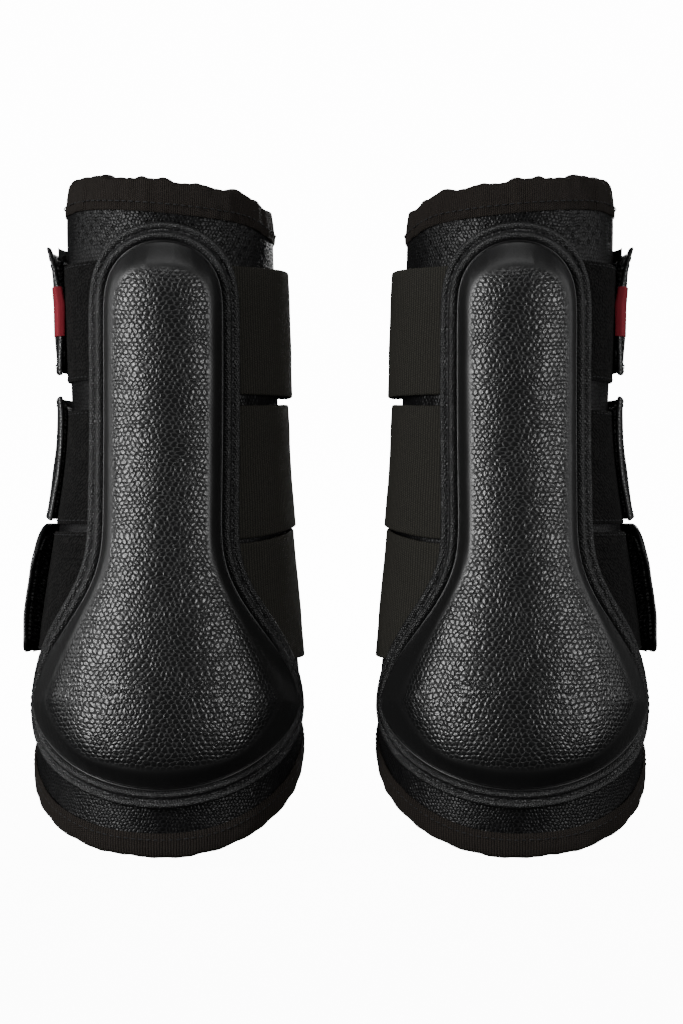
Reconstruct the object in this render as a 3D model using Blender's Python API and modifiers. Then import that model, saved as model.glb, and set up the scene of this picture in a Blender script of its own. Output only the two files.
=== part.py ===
"""A pair of brushing boots for a horse's lower legs, built from separate cut, sewn and moulded pieces.

Each boot is a padded tube that wraps the leg. It has a moulded strike pad on the front, three elastic
straps that run from under one side of the pad round the back, and three landing patches on the other
side. The back edge opens on a flap that carries the straps. The right boot is the left one mirrored.

Metres, +Z up, the strike pads face -Y. Angles are in degrees round a boot: 0 is the middle of the pad
and they grow towards the side the straps leave from.
"""

import math

import bmesh
import bpy
from mathutils import Matrix, Vector

MM = 0.001

# The boots
BELOW_STRAPS = 78 * MM  # lowest point of the front lobe to the lowest strap
STRAP_WIDTHS = (53.5 * MM, 52 * MM, 54.5 * MM)  # from the top strap down
STRAP_SPACES = (3 * MM, 1.2 * MM)
ABOVE_STRAPS = 38 * MM  # top strap to the highest corner of the top edge
TOP_TILT = 4 * MM  # how far the top edge falls from its middle to the strap side
SIDE_DROOP = 3 * MM  # how far the top edge dips at both sides
DROOP_TILT = 1.5 * MM  # how much more of it at the strap side
TOP_HALF_WIDTH = 44 * MM  # over the leather, side to side
FLARE = 12.5 * MM  # how much wider each side is over the ankle joint
BACK_FLARE = 7.5 * MM  # the same at the back
DEPTH_SHARE = 0.95  # front to back against side to side
FLARE_START = 192 * MM  # heights between which the boot widens
FLARE_END = 42 * MM
SWAY = 2.5 * MM  # how far the tube stands over to the strap side, half way up
SWAY_HEIGHT = 175 * MM
SWAY_REACH = 55 * MM
LOW_HOLD = 1.15  # how long the lower edge stays low before it rises; 1 is evenly
LOW_TILT = 2 * MM  # how much higher its strap side is than its middle, and the other side lower
LOW_STRAP_CLEAR = 5.5 * MM  # lowest strap above the bottom tape at the back
BOOT_SPACING = 146 * MM  # between the middles of the two boots

# Layers
GAP = 0.3 * MM  # between pieces that touch
LEATHER = 1.4 * MM
LINING = 5.8 * MM
TAPE = 0.8 * MM
TOP_TAPE_WIDTH = 12.5 * MM
LOW_TAPE_WIDTH = 8.5 * MM
SEAM_TAPE_WIDTH = 6 * MM
SEAM_TAPE_CLEAR = 1.5 * MM  # its ends short of the top and bottom tapes

# Straps
STRAP_THICK = 1.6 * MM
LOOP_THICK = 1.2 * MM
HOOK_THICK = 1.0 * MM
TAB_THICK = 1.6 * MM
TAB_CURLS = (1.6 * MM, 0.2 * MM, 3.5 * MM)  # how far the free edge of each tab stands off
STRAP_STANDS = (4.2 * MM, 2.2 * MM, 1.2 * MM)  # how far each strap bridges off the flap
STRAP_CLIMBS = (11 * MM, 2.5 * MM, 1.5 * MM)  # how far each strap rises on its way round
TAB_SPREADS = (1.6 * MM, 0.5 * MM, 0.5 * MM)  # how far a tab widens to its free edge, each way
HOOK_MARGIN = 4.3 * MM  # tab edge to hook patch
LOOP_MARGINS = (1.6 * MM, 2.7 * MM)  # strap edge to landing patch, below and above
LOOP_DROPS = (6.3 * MM, 3 * MM, 0.0)  # how much lower each landing patch sits than its tab
LABEL_HEIGHT = 21 * MM
LABEL_FOLD = 6 * MM

# Angles round a boot
HINGE_ANGLE = 100
SEAM_ANGLE = 222
HOOK_START = 240
HOOK_END = 272
TAB_END = 283
LOOP_START = 234

# Strike pad
PAD_HALF_WIDTH = 31 * MM
PAD_LOW = 19.5 * MM  # lowest point of the pad
PAD_TOP_DROP = 22.4 * MM  # top of the pad below the boot's highest corner
PAD_CORNER = 56 * MM  # height of its two low corners
PAD_NECK = 127 * MM  # where the shaft starts to flare
PAD_CORNER_ANGLE = 80
PAD_BASE = 2.4 * MM
PAD_TUCK = 2.4 * MM  # how far straps and landing patches reach under the rim
PAD_COVER = 1.2 * MM
PAD_LIP_WIDTH = 3.6 * MM
PAD_FLAT_INSET = 5.6 * MM
PAD_COVER_INSET = 6.5 * MM
PAD_CUSHION_INSET = 9 * MM
PAD_BULGE = 7.5 * MM
PAD_SLOPE = 9 * MM  # how far in from its edge the cushion reaches full height

BOOT_HEIGHT = BELOW_STRAPS + sum(STRAP_WIDTHS) + sum(STRAP_SPACES) + ABOVE_STRAPS
PAD_TOP = BOOT_HEIGHT - PAD_TOP_DROP
WALL = LEATHER + GAP + LINING
BACK_RISE = BELOW_STRAPS - LOW_TAPE_WIDTH - LOW_STRAP_CLEAR  # lower edge at the back over the front
STEP = 12  # degrees between the columns of a wrapped sheet
SAG = (TOP_HALF_WIDTH + FLARE) * (1 - math.cos(math.radians(STEP / 2)))  # of its flats off the curve
STRAP_SIT = GAP + 0.7 * SAG  # webbing over the leather
PAD_SIT = GAP + 1.8 * SAG  # the middle of the pad over the leather
PAD_LIP = STRAP_SIT + STRAP_THICK + GAP + SAG  # the rim's underside over the leather

SIDES = {"left": 1, "right": -1}


def clear_scene():
    for thing in list(bpy.data.objects):
        bpy.data.objects.remove(thing, do_unlink=True)


def make_material(name, colour, roughness, metallic=0.0):
    material = bpy.data.materials.new(name)
    material.use_nodes = True
    shader = material.node_tree.nodes["Principled BSDF"]
    shader.inputs["Base Color"].default_value = (*colour, 1)
    shader.inputs["Roughness"].default_value = roughness
    shader.inputs["Metallic"].default_value = metallic
    material.diffuse_color = (*colour, 1)
    return material


def smooth(t):
    t = min(max(t, 0), 1)
    return t * t * (3 - 2 * t)


def mix(a, b, t):
    return a + (b - a) * t


# ---- the shape every layer is wrapped on ----


def flare_at(z):
    return smooth((FLARE_START - z) / (FLARE_START - FLARE_END))


def half_width(z):
    return TOP_HALF_WIDTH + FLARE * flare_at(z)


def half_depth(z, angle):
    if math.cos(math.radians(angle)) > 0:
        return DEPTH_SHARE * half_width(z)
    return DEPTH_SHARE * TOP_HALF_WIDTH + BACK_FLARE * flare_at(z)


def sway(z):
    return SWAY * math.exp(-(((z - SWAY_HEIGHT) / SWAY_REACH) ** 2))


def wrap(side, angle, z, out):
    """The point `out` metres off the leather's outer face."""
    a = math.radians(angle)
    width = half_width(z)
    depth = half_depth(z, angle)
    width_slope = (half_width(z + MM) - half_width(z - MM)) / (2 * MM)
    depth_slope = (half_depth(z + MM, angle) - half_depth(z - MM, angle)) / (2 * MM)
    sway_slope = (sway(z + MM) - sway(z - MM)) / (2 * MM)
    side_slope = width_slope * math.sin(a) + sway_slope
    lean = width * depth_slope * math.cos(a) ** 2 + depth * math.sin(a) * side_slope
    normal = Vector((depth * math.sin(a), -width * math.cos(a), -lean)).normalized()
    point = Vector((width * math.sin(a) + sway(z), -depth * math.cos(a), z)) + normal * out
    middle = -side * BOOT_SPACING / 2
    return Vector((middle + side * point.x, point.y, point.z))


def turned(angle):
    """The same direction between -180 and 180."""
    return (angle + 180) % 360 - 180


def low_edge(angle):
    off = abs(turned(angle))
    tilt = LOW_TILT * math.sin(math.radians(angle)) * smooth(off / 60)
    return BACK_RISE * smooth((off / 165) ** LOW_HOLD) + tilt


def top_edge(angle):
    lean = math.sin(math.radians(angle))
    off = abs(turned(angle))
    dip = (SIDE_DROOP + DROOP_TILT * lean) * smooth((off - 40) / 45) * smooth((165 - off) / 50)
    return BOOT_HEIGHT - TOP_TILT - TOP_TILT * lean - dip


def low_edge_stretch(angle):
    """How much longer a width across the lower edge is when it is measured straight up."""
    rise = low_edge(angle + 1) - low_edge(angle)
    run = math.radians(1) * half_width(low_edge(angle))
    return math.sqrt(1 + (rise / run) ** 2)


def leather_low(angle):
    return low_edge(angle) + (TAPE + 2 * GAP) * low_edge_stretch(angle)


def leather_top(angle):
    return top_edge(angle) - TAPE - GAP


def degrees_of(length, z):
    return math.degrees(length / half_width(z))


# ---- making sheets ----


def columns(start, end, step=STEP):
    """start, the whole steps between, end."""
    first = math.ceil(start / step + 0.25) * step
    inner = [first + step * i for i in range(int((end - first) / step + 1))]
    return [start] + [a for a in inner if a < end - step * 0.25] + [end]


def spread(start, end, count):
    return [mix(start, end, i / count) for i in range(count + 1)]


def finish(collection, obj, material, pivot):
    obj.data.materials.append(material)
    collection.objects.link(obj)
    if pivot is not None:
        obj.parent = pivot
        obj.matrix_parent_inverse = pivot.matrix_basis.inverted()
    return obj


def sheet(collection, name, side, across, up, place, thick, material, pivot=None, weight=None,
          even=True):
    """A grid laid on a boot, thickened away from the leg. place(u, v) gives angle, height and offset."""
    bm = bmesh.new()
    bmesh.ops.create_grid(bm, x_segments=len(across) - 1, y_segments=len(up) - 1, size=0.5)
    bm.verts.ensure_lookup_table()
    weights = []
    for vert in bm.verts:
        u = across[round((vert.co.x + 0.5) * (len(across) - 1))]
        v = up[round((vert.co.y + 0.5) * (len(up) - 1))]
        angle, z, out = place(u, v)
        vert.co = wrap(side, angle, z, out)
        weights.append(weight(u, v) if weight else 1.0)
    if side < 0:
        bmesh.ops.reverse_faces(bm, faces=bm.faces)
    mesh = bpy.data.meshes.new(name)
    bm.to_mesh(mesh)
    bm.free()
    obj = bpy.data.objects.new(name, mesh)
    finish(collection, obj, material, pivot)
    solid = obj.modifiers.new("thickness", "SOLIDIFY")
    solid.thickness = thick
    solid.offset = 1
    solid.use_even_offset = even
    if weight:
        group = obj.vertex_groups.new(name="height")
        for index, value in enumerate(weights):
            group.add([index], value, "REPLACE")
        solid.vertex_group = "height"
    return obj


def pivot_line(side, angle, low, high, out):
    """Two points of a joint's axis, on the outside of the pieces that fold there."""
    return wrap(side, angle, low, out), wrap(side, angle, high, out)


def make_pivot(collection, name, low, high):
    """An empty on a joint's axis, its Z along the axis."""
    empty = bpy.data.objects.new(name, None)
    empty.empty_display_size = 0.02
    turn = (high - low).to_track_quat("Z", "Y").to_matrix().to_4x4()
    empty.matrix_basis = Matrix.Translation((low + high) / 2) @ turn
    collection.objects.link(empty)
    return empty


# ---- shell, lining and tapes ----


def make_wall(collection, side, prefix, start, end, materials, pivot):
    across = columns(start, end)
    up = (0, 0.08, 0.16, 0.24, 0.32, 0.4, 0.48, 0.56, 0.66, 0.8, 1)

    def place_at(out):
        return lambda angle, v: (angle, mix(leather_low(angle), leather_top(angle), v), out)

    sheet(collection, prefix + "outer_shell", side, across, up, place_at(-LEATHER), LEATHER,
          materials["leather"], pivot)
    sheet(collection, prefix + "padded_lining", side, across, up, place_at(-WALL), LINING,
          materials["lining"], pivot)
    top_path = (
        (GAP, TAPE + GAP - TOP_TAPE_WIDTH),
        (GAP, GAP),
        (-WALL - 2 * GAP, GAP),
        (-WALL - 2 * GAP, TAPE + GAP - TOP_TAPE_WIDTH),
    )

    def place_top(angle, i):
        out, rise = top_path[i]
        return angle, leather_top(angle) + rise, out

    sheet(collection, prefix + "top_binding", side, across, range(4), place_top, TAPE,
          materials["tape"], pivot)
    low_path = (
        (-WALL - 3 * GAP, LOW_TAPE_WIDTH - TAPE - GAP),
        (-WALL - 3 * GAP, -2 * GAP),
        (GAP, -2 * GAP),
        (GAP, LOW_TAPE_WIDTH - TAPE - GAP),
    )

    def place_low(angle, i):
        out, rise = low_path[i]
        return angle, leather_low(angle) + rise * low_edge_stretch(angle), out

    sheet(collection, prefix + "bottom_binding", side, across, range(4), place_low, TAPE,
          materials["tape"], pivot)


def make_seam_tape(collection, side, name, edge, toward, materials, pivot):
    """The tape folded over a back edge. toward is 1 where the wall ends going up in angle."""
    inner = -WALL - 2 * GAP
    path = [(-SEAM_TAPE_WIDTH, GAP), (GAP, GAP), (GAP, inner), (-SEAM_TAPE_WIDTH, inner)]
    if toward < 0:
        path = [(-length, out) for length, out in reversed(path)]

    def place(i, v):
        length, out = path[i]
        angle = edge + degrees_of(length, 0.5 * BOOT_HEIGHT)
        low = leather_low(edge) + LOW_TAPE_WIDTH * low_edge_stretch(edge) + SEAM_TAPE_CLEAR
        high = leather_top(edge) - TOP_TAPE_WIDTH - SEAM_TAPE_CLEAR
        return angle, mix(low, high, v), out

    sheet(collection, name, side, range(4), spread(0, 1, 10), place, TAPE, materials["tape"], pivot)


# ---- strike pad ----


def pad_middle(z):
    """The pad is straight, so it lies off the middle of the swaying tube."""
    return -degrees_of(sway(z), z)


def pad_half_angle(z, inset=0):
    shaft = math.degrees(math.asin((PAD_HALF_WIDTH - inset) / (half_width(z) + 3 * MM)))
    corner = PAD_CORNER_ANGLE - degrees_of(inset, z)
    return mix(shaft, corner, smooth((PAD_NECK - z) / (PAD_NECK - PAD_CORNER)))


def pad_point(u, v, inset=0):
    """Angle and height of a place on the pad. u runs -1 to 1 across it and v runs 0 to 1 up it."""
    side_z = mix(PAD_CORNER + inset / 2, PAD_TOP - PAD_HALF_WIDTH, v)
    middle_z = mix(PAD_LOW + inset, PAD_TOP - inset, v)
    lobe = 1 - abs(u) ** 1.95
    arch = math.sqrt(max(0, 1 - u * u))
    z = mix(side_z, middle_z, mix(lobe, arch, v))
    return pad_middle(z) + u * pad_half_angle(side_z, inset), z


def ringed(inner, insets):
    """Positions across a pad piece with rings of the given insets round its edge."""
    start = [(inner[0], inset) for inset in insets]
    end = [(inner[-1], inset) for inset in reversed(insets)]
    return start + [(place, insets[-1]) for place in inner[1:-1]] + end


def ring_point(u, v):
    """The place where a ring across meets a ring up, kept off the corner they share."""
    inset = min(u[1], v[1])
    along = u[0]
    if abs(along) == 1:
        along *= 1 - (u[1] - inset) / PAD_HALF_WIDTH
    height = v[0]
    if height in (0, 1):
        step = (v[1] - inset) / (0.6 * BOOT_HEIGHT)
        height += step if height == 0 else -step
    return (*pad_point(along, height, inset), inset)


def pad_edge_angle(z, toward):
    """Where pieces tucked under the rim stop, on the strap side (1) or the landing side (-1)."""
    return pad_middle(z) + toward * (pad_half_angle(z) - degrees_of(PAD_TUCK, z))


def make_pad(collection, side, prefix, materials):
    across = spread(-1, 1, 14)
    up = (0, 0.07, 0.15, 0.23, 0.31, 0.4, 0.52, 0.68, 0.84, 0.94, 1)
    rim = (0, PAD_LIP_WIDTH, PAD_FLAT_INSET)

    def place_base(u, v):
        angle, z, inset = ring_point(u, v)
        return angle, z, PAD_LIP if inset <= PAD_LIP_WIDTH else PAD_SIT

    sheet(collection, prefix + "strike_pad_base", side, ringed(across, rim), ringed(up, rim),
          place_base, PAD_BASE, materials["pad"], even=False)
    seat = PAD_SIT + PAD_BASE + GAP + 1.5 * SAG

    def height_share(u, v):
        across_in = (1 - abs(u)) * PAD_HALF_WIDTH
        up_in = min(v, 1 - v) * (PAD_TOP - PAD_LOW)
        return mix(0.07, 1, smooth(min(across_in, up_in) / PAD_SLOPE))

    def place_cushion(u, v):
        angle, z = pad_point(u, v, PAD_CUSHION_INSET)
        return angle, z, seat

    sheet(collection, prefix + "pad_cushion", side, across, up, place_cushion, PAD_BULGE,
          materials["foam"], weight=height_share, even=False)

    def place_cover(u, v):
        angle, z, inset = ring_point(u, v)
        if inset < PAD_CUSHION_INSET:
            return angle, z, seat
        return angle, z, seat + PAD_BULGE * height_share(u[0], v[0]) + 2 * GAP

    edge = (PAD_COVER_INSET, PAD_CUSHION_INSET)
    sheet(collection, prefix + "pad_cover", side, ringed(across, edge), ringed(up, edge),
          place_cover, PAD_COVER, materials["pad"], even=False)


# ---- straps ----


def strap_band(index):
    """Lower and upper height of a strap where it leaves the pad."""
    low = BELOW_STRAPS + sum(STRAP_WIDTHS[index + 1:]) + sum(STRAP_SPACES[index:])
    return low, low + STRAP_WIDTHS[index]


def strap_height(index, angle, v, margins=(0, 0)):
    low, high = strap_band(index)
    climb = STRAP_CLIMBS[index] * smooth((angle - HINGE_ANGLE) / 140)
    return mix(low + margins[0], high - margins[1], v) + climb


def strap_out(index, angle):
    """The webbing bridges the flap, then meets the landing patch past the back seam."""
    landed = STRAP_SIT + LOOP_THICK + HOOK_THICK + GAP * 2
    return mix(STRAP_SIT + STRAP_STANDS[index], landed, min(1, max(0, (angle - 192) / 24)))


def tab_out(index, angle):
    curl = max(0, (angle - 264) / (TAB_END - 264))
    return strap_out(index, angle) + STRAP_THICK + GAP + TAB_CURLS[index] * curl * curl


def hinge_edge():
    return degrees_of(GAP / 2, 0.9 * BOOT_HEIGHT)


def strap_axis(side, index):
    """The lower two straps turn about parallel lines, so that they stay side by side when open."""
    fold = STRAP_SIT + STRAP_STANDS[index] + STRAP_THICK + GAP
    low, high = strap_band(index)
    ends = pivot_line(side, HINGE_ANGLE, low, high, fold)
    if index == 0:
        return ends
    foot, head = pivot_line(side, HINGE_ANGLE, strap_band(2)[0], strap_band(1)[1], fold)
    reach = (head - foot).normalized() * (high - low) / 2
    middle = (ends[0] + ends[1]) / 2
    return middle - reach, middle + reach


def make_strap(collection, side, prefix, index, materials, flap):
    """One strap: its sewn root, elastic, tab, hook patch and landing patch."""
    number = str(index + 1)
    pivot = make_pivot(collection, prefix + "strap_" + number + "_axis", *strap_axis(side, index))
    pivot.parent = flap
    pivot.matrix_parent_inverse = flap.matrix_basis.inverted()
    edge = hinge_edge()
    rows = spread(0, 1, 3)
    slanted_rows = spread(0, 1, 6) if index == 2 else rows

    def place_root(t, v):
        z = strap_height(index, HINGE_ANGLE, v)
        lift = STRAP_STANDS[index] * smooth((t - 0.1) / 0.7)
        return mix(pad_edge_angle(z, 1), HINGE_ANGLE - edge, t), z, STRAP_SIT + lift

    sheet(collection, prefix + "strap_root_" + number, side, spread(0, 1, 8), slanted_rows, place_root,
          STRAP_THICK, materials["elastic"])

    def place_strap(angle, v):
        return angle, strap_height(index, angle, v), strap_out(index, angle)

    along = columns(HINGE_ANGLE + edge, 228) + spread(234, HOOK_END, 6)
    sheet(collection, prefix + "elastic_strap_" + number, side, along, rows, place_strap,
          STRAP_THICK, materials["elastic"], pivot)

    def place_tab(angle, v):
        spread_out = -TAB_SPREADS[index] * smooth((angle - 264) / 15)
        return angle, strap_height(index, angle, v, (spread_out, spread_out)), tab_out(index, angle)

    tab_along = [240, 246, 252, 258, 264, 270, 275, 279, TAB_END]
    sheet(collection, prefix + "leather_tab_" + number, side, tab_along, rows, place_tab,
          TAB_THICK, materials["leather"], pivot)

    def place_hook(angle, v):
        z = strap_height(index, angle, v, (HOOK_MARGIN, HOOK_MARGIN))
        return angle, z, STRAP_SIT + LOOP_THICK + GAP

    sheet(collection, prefix + "hook_patch_" + number, side, spread(HOOK_START, HOOK_END, 5),
          rows, place_hook, HOOK_THICK, materials["hook"], pivot)

    def place_loop(t, v):
        z = strap_height(index, HOOK_START, v, LOOP_MARGINS) - LOOP_DROPS[index]
        return mix(LOOP_START, 360 + pad_edge_angle(z, -1), t), z, STRAP_SIT

    sheet(collection, prefix + "loop_patch_" + number, side, spread(0, 1, 11), slanted_rows, place_loop,
          LOOP_THICK, materials["loop"])
    return pivot


def make_label(collection, side, prefix, materials, pivot):
    """The folded fabric label gripped over the free edge of the top tab."""
    end_gap = degrees_of(GAP, 0.8 * BOOT_HEIGHT)
    leg = degrees_of(LABEL_FOLD, 0.8 * BOOT_HEIGHT)
    start = TAB_END - leg
    path = (
        (start, tab_out(0, start) - GAP, -1),
        (TAB_END + end_gap, tab_out(0, TAB_END) - GAP, -1),
        (TAB_END + end_gap, tab_out(0, TAB_END) + TAB_THICK + GAP, 1),
        (start, tab_out(0, start) + TAB_THICK + GAP, 1),
    )
    middle = strap_height(0, TAB_END, 0.5)

    def place(i, v):
        angle, out, face = path[i]
        return angle, middle + LABEL_HEIGHT * (v - 0.5), out + 0.4 * MM * face

    sheet(collection, prefix + "fabric_label", side, [3, 2, 1, 0], spread(0, 1, 3), place, 0.5 * MM,
          materials["label"], pivot)


def make_boot(collection, word, materials):
    side = SIDES[word]
    prefix = word + "_"
    inside = DEPTH_SHARE * TOP_HALF_WIDTH - WALL - GAP - TAPE
    margin = math.degrees((GAP + TAPE + GAP) / inside)
    edge = hinge_edge()
    flap_low = low_edge(HINGE_ANGLE)
    flap_high = top_edge(HINGE_ANGLE)
    fold = STRAP_SIT + STRAP_STANDS[0] + STRAP_THICK + GAP
    axis = pivot_line(side, HINGE_ANGLE, flap_low, flap_high, fold)
    flap = make_pivot(collection, prefix + "flap_axis", *axis)
    make_wall(collection, side, prefix, SEAM_ANGLE - 360 + margin, HINGE_ANGLE - edge, materials, None)
    make_wall(collection, side, prefix + "flap_", HINGE_ANGLE + edge, SEAM_ANGLE - margin, materials,
              flap)
    make_seam_tape(collection, side, prefix + "seam_binding", SEAM_ANGLE - 360 + margin, -1,
                   materials, None)
    make_seam_tape(collection, side, prefix + "flap_seam_binding", SEAM_ANGLE - margin, 1, materials,
                   flap)
    make_pad(collection, side, prefix, materials)
    pivots = [make_strap(collection, side, prefix, index, materials, flap) for index in range(3)]
    make_label(collection, side, prefix, materials, pivots[0])


def main():
    clear_scene()
    collection = bpy.data.collections.new("brushing_boots")
    bpy.context.scene.collection.children.link(collection)
    materials = {
        "leather": make_material("grained_black_leather", (0.018, 0.018, 0.019), 0.42),
        "pad": make_material("moulded_black_pad", (0.016, 0.016, 0.017), 0.36),
        "foam": make_material("pad_foam", (0.1, 0.1, 0.1), 0.9),
        "lining": make_material("padded_black_lining", (0.03, 0.03, 0.032), 0.85),
        "tape": make_material("ribbed_binding_tape", (0.028, 0.021, 0.018), 0.8),
        "elastic": make_material("ribbed_black_elastic", (0.012, 0.012, 0.013), 0.75),
        "hook": make_material("hook_tape", (0.02, 0.02, 0.02), 0.7),
        "loop": make_material("loop_tape", (0.014, 0.014, 0.014), 0.95),
        "label": make_material("red_label_cloth", (0.36, 0.03, 0.05), 0.7),
    }
    for word in SIDES:
        make_boot(collection, word, materials)


main()
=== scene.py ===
"""The looks of a mirrored pair of brushing boots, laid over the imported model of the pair.

Each boot is drawn as its maker would see it: shell leather, padded lining, bindings, strike pad,
straps, tabs, landing patches, label and stitching. Lengths are in metres. Angles go round a boot in
degrees: 0 is the middle of the strike pad, and they grow towards the side the straps leave from.
"""

import math

import bmesh
import bpy
import numpy as np
from bpy.props import FloatProperty, FloatVectorProperty, PointerProperty
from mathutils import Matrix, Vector


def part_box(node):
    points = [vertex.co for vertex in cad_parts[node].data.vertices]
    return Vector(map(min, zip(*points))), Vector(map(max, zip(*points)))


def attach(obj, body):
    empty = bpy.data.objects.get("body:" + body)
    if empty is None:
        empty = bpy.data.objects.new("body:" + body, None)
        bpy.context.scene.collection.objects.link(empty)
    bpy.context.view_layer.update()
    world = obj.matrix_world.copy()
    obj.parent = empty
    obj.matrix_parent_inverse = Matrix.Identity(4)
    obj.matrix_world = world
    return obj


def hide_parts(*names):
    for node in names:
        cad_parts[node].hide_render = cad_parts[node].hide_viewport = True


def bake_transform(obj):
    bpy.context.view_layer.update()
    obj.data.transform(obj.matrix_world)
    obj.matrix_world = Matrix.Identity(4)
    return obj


bl_info = {
    "name": "Brushing Boots",
    "version": (1, 0, 0),
    "blender": (4, 5, 0),
    "location": "View3D > Sidebar > Boots",
    "description": "Builds the looks of a mirrored pair of padded brushing boots",
    "category": "Add Mesh",
}

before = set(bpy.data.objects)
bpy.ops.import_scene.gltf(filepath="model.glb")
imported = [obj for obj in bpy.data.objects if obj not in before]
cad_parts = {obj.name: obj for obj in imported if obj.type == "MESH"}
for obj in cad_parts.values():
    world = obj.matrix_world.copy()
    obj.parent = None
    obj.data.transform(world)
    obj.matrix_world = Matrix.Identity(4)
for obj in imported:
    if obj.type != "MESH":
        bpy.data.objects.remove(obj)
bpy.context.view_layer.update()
MM = 0.001
SIDES = {"left": 1, "right": -1}


def box_of(node):
    low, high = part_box(node)
    return np.array(low), np.array(high)


# ---- the last the layers are wrapped on ----

TOP_HALF_WIDTH = 44 * MM
FLARE = 12.5 * MM
BACK_FLARE = 7.5 * MM
DEPTH_SHARE = 0.95
FLARE_START = 192 * MM
FLARE_END = 42 * MM
SWAY = 2.5 * MM
SWAY_HEIGHT = 175 * MM
SWAY_REACH = 55 * MM
TOP_TILT = 4 * MM
SIDE_DROOP = 3 * MM
DROOP_TILT = 1.5 * MM
BOOT_HEIGHT = 280.2 * MM
BACK_RISE = 64 * MM
LOW_HOLD = 1.15
LOW_TILT = 2 * MM

MEAN_RADIUS = 50 * MM  # of the tube, near enough to space points and lay patterns
RADIAN = 57.3  # degrees

GAP = 0.3 * MM
LEATHER = 1.4 * MM
LINING = 5.8 * MM
WALL = LEATHER + GAP + LINING
TAPE = 0.8 * MM
TOP_TAPE_WIDTH = 12.5 * MM
LOW_TAPE_WIDTH = 8.5 * MM
SEAM_TAPE_WIDTH = 6 * MM

STRAP_THICK = 1.6 * MM
LOOP_THICK = 1.2 * MM
HOOK_THICK = 1.0 * MM
TAB_THICK = 1.6 * MM
STRAP_SIT = 0.52 * MM
STRAP_STANDS = (4.2 * MM, 2.2 * MM, 1.2 * MM)
STRAP_CLIMBS = (11 * MM, 2.5 * MM, 1.5 * MM)
ROOT_DIPS = (0.4 * MM, 1.8 * MM, 6 * MM)  # how much lower a strap's top edge meets the pad
TAB_STANDS = (  # how far each tab's free edge stands off the strap, from its foot to its head
    (-1.3 * MM, -2.0 * MM, -2.6 * MM, -0.4 * MM, 2.6 * MM),
    (-1.4 * MM, -1.9 * MM, -2.0 * MM, -1.9 * MM, -1.2 * MM),
    (2.0 * MM, 3.0 * MM, 3.5 * MM, 3.4 * MM, 2.6 * MM),
)
LOOP_DROPS = (6.3 * MM, 3 * MM, 0.0)
LABEL_FOLD = 6 * MM
LABEL_HEIGHT = 21 * MM

HINGE_ANGLE = 100
FLAP_BEND_END = 108
STRAP_BEND_END = 124
SEAM_ANGLE = 222
HOOK_START, HOOK_END = 240, 272
HOOK_SHOWN_END = 281  # the hooks reach this near to a tab's free edge
HOOK_MARGIN = 3.4 * MM
TAB_START, TAB_END = 240, 283
LOOP_START = 234

PAD_HALF_WIDTH = 31 * MM
PAD_CORNER = 56 * MM
PAD_NECK = 127 * MM
PAD_CORNER_ANGLE = 80
PAD_TUCK = 2.4 * MM
PAD_LIFT = 2 * MM  # the cut outline's head stands this much higher, because smoothing lowers it
PAD_LOW = box_of("left_strike_pad_base")[0][2]
PAD_TOP = box_of("left_strike_pad_base")[1][2]
MIDDLES = {
    side: (box_of(word + "_strike_pad_base")[0][0] + box_of(word + "_strike_pad_base")[1][0]) / 2
    for word, side in SIDES.items()
}
STRAP_BANDS = [
    (box_of(f"left_strap_root_{i}")[0][2], box_of(f"left_strap_root_{i}")[1][2]) for i in (1, 2, 3)
]


def smooth(t):
    t = np.clip(t, 0, 1)
    return t * t * (3 - 2 * t)


def mix(a, b, t):
    return a + (b - a) * t


def flare_at(z):
    return smooth((FLARE_START - z) / (FLARE_START - FLARE_END))


def half_width(z):
    return TOP_HALF_WIDTH + FLARE * flare_at(z)


def half_depth(z, angle):
    front = DEPTH_SHARE * half_width(z)
    back = DEPTH_SHARE * TOP_HALF_WIDTH + BACK_FLARE * flare_at(z)
    return np.where(np.cos(np.radians(angle)) > 0, front, back)


def sway(z):
    return SWAY * np.exp(-(((z - SWAY_HEIGHT) / SWAY_REACH) ** 2))


def wrap(side, angle, z, out):
    """Points `out` metres off the leather's outer face."""
    angle, z, out = np.broadcast_arrays(*(np.asarray(x, float) for x in (angle, z, out)))
    a = np.radians(angle)
    width, depth = half_width(z), half_depth(z, angle)
    width_slope = (half_width(z + MM) - half_width(z - MM)) / (2 * MM)
    depth_slope = (half_depth(z + MM, angle) - half_depth(z - MM, angle)) / (2 * MM)
    sway_slope = (sway(z + MM) - sway(z - MM)) / (2 * MM)
    lean = width * depth_slope * np.cos(a) ** 2
    lean += depth * np.sin(a) * (width_slope * np.sin(a) + sway_slope)
    normal = np.stack([depth * np.sin(a), -width * np.cos(a), -lean], -1)
    normal /= np.linalg.norm(normal, axis=-1, keepdims=True)
    point = np.stack([width * np.sin(a) + sway(z), -depth * np.cos(a), z], -1)
    point = point + normal * out[..., None]
    point[..., 0] = MIDDLES[side] + side * point[..., 0]
    return point


def turned(angle):
    return (np.asarray(angle, float) + 180) % 360 - 180


def low_edge(angle):
    off = np.abs(turned(angle))
    tilt = LOW_TILT * np.sin(np.radians(angle)) * smooth(off / 60)
    return BACK_RISE * smooth((off / 165) ** LOW_HOLD) + tilt


def top_edge(angle):
    lean = np.sin(np.radians(angle))
    off = np.abs(turned(angle))
    dip = (SIDE_DROOP + DROOP_TILT * lean) * smooth((off - 40) / 45) * smooth((165 - off) / 50)
    return BOOT_HEIGHT - TOP_TILT - TOP_TILT * lean - dip


def low_edge_stretch(angle):
    rise = low_edge(np.asarray(angle) + 1) - low_edge(angle)
    run = math.radians(1) * half_width(low_edge(angle))
    return np.sqrt(1 + (rise / run) ** 2)


def leather_low(angle):
    return low_edge(angle) + (TAPE + 2 * GAP) * low_edge_stretch(angle)


def leather_top(angle):
    return top_edge(angle) - TAPE - GAP


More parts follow.
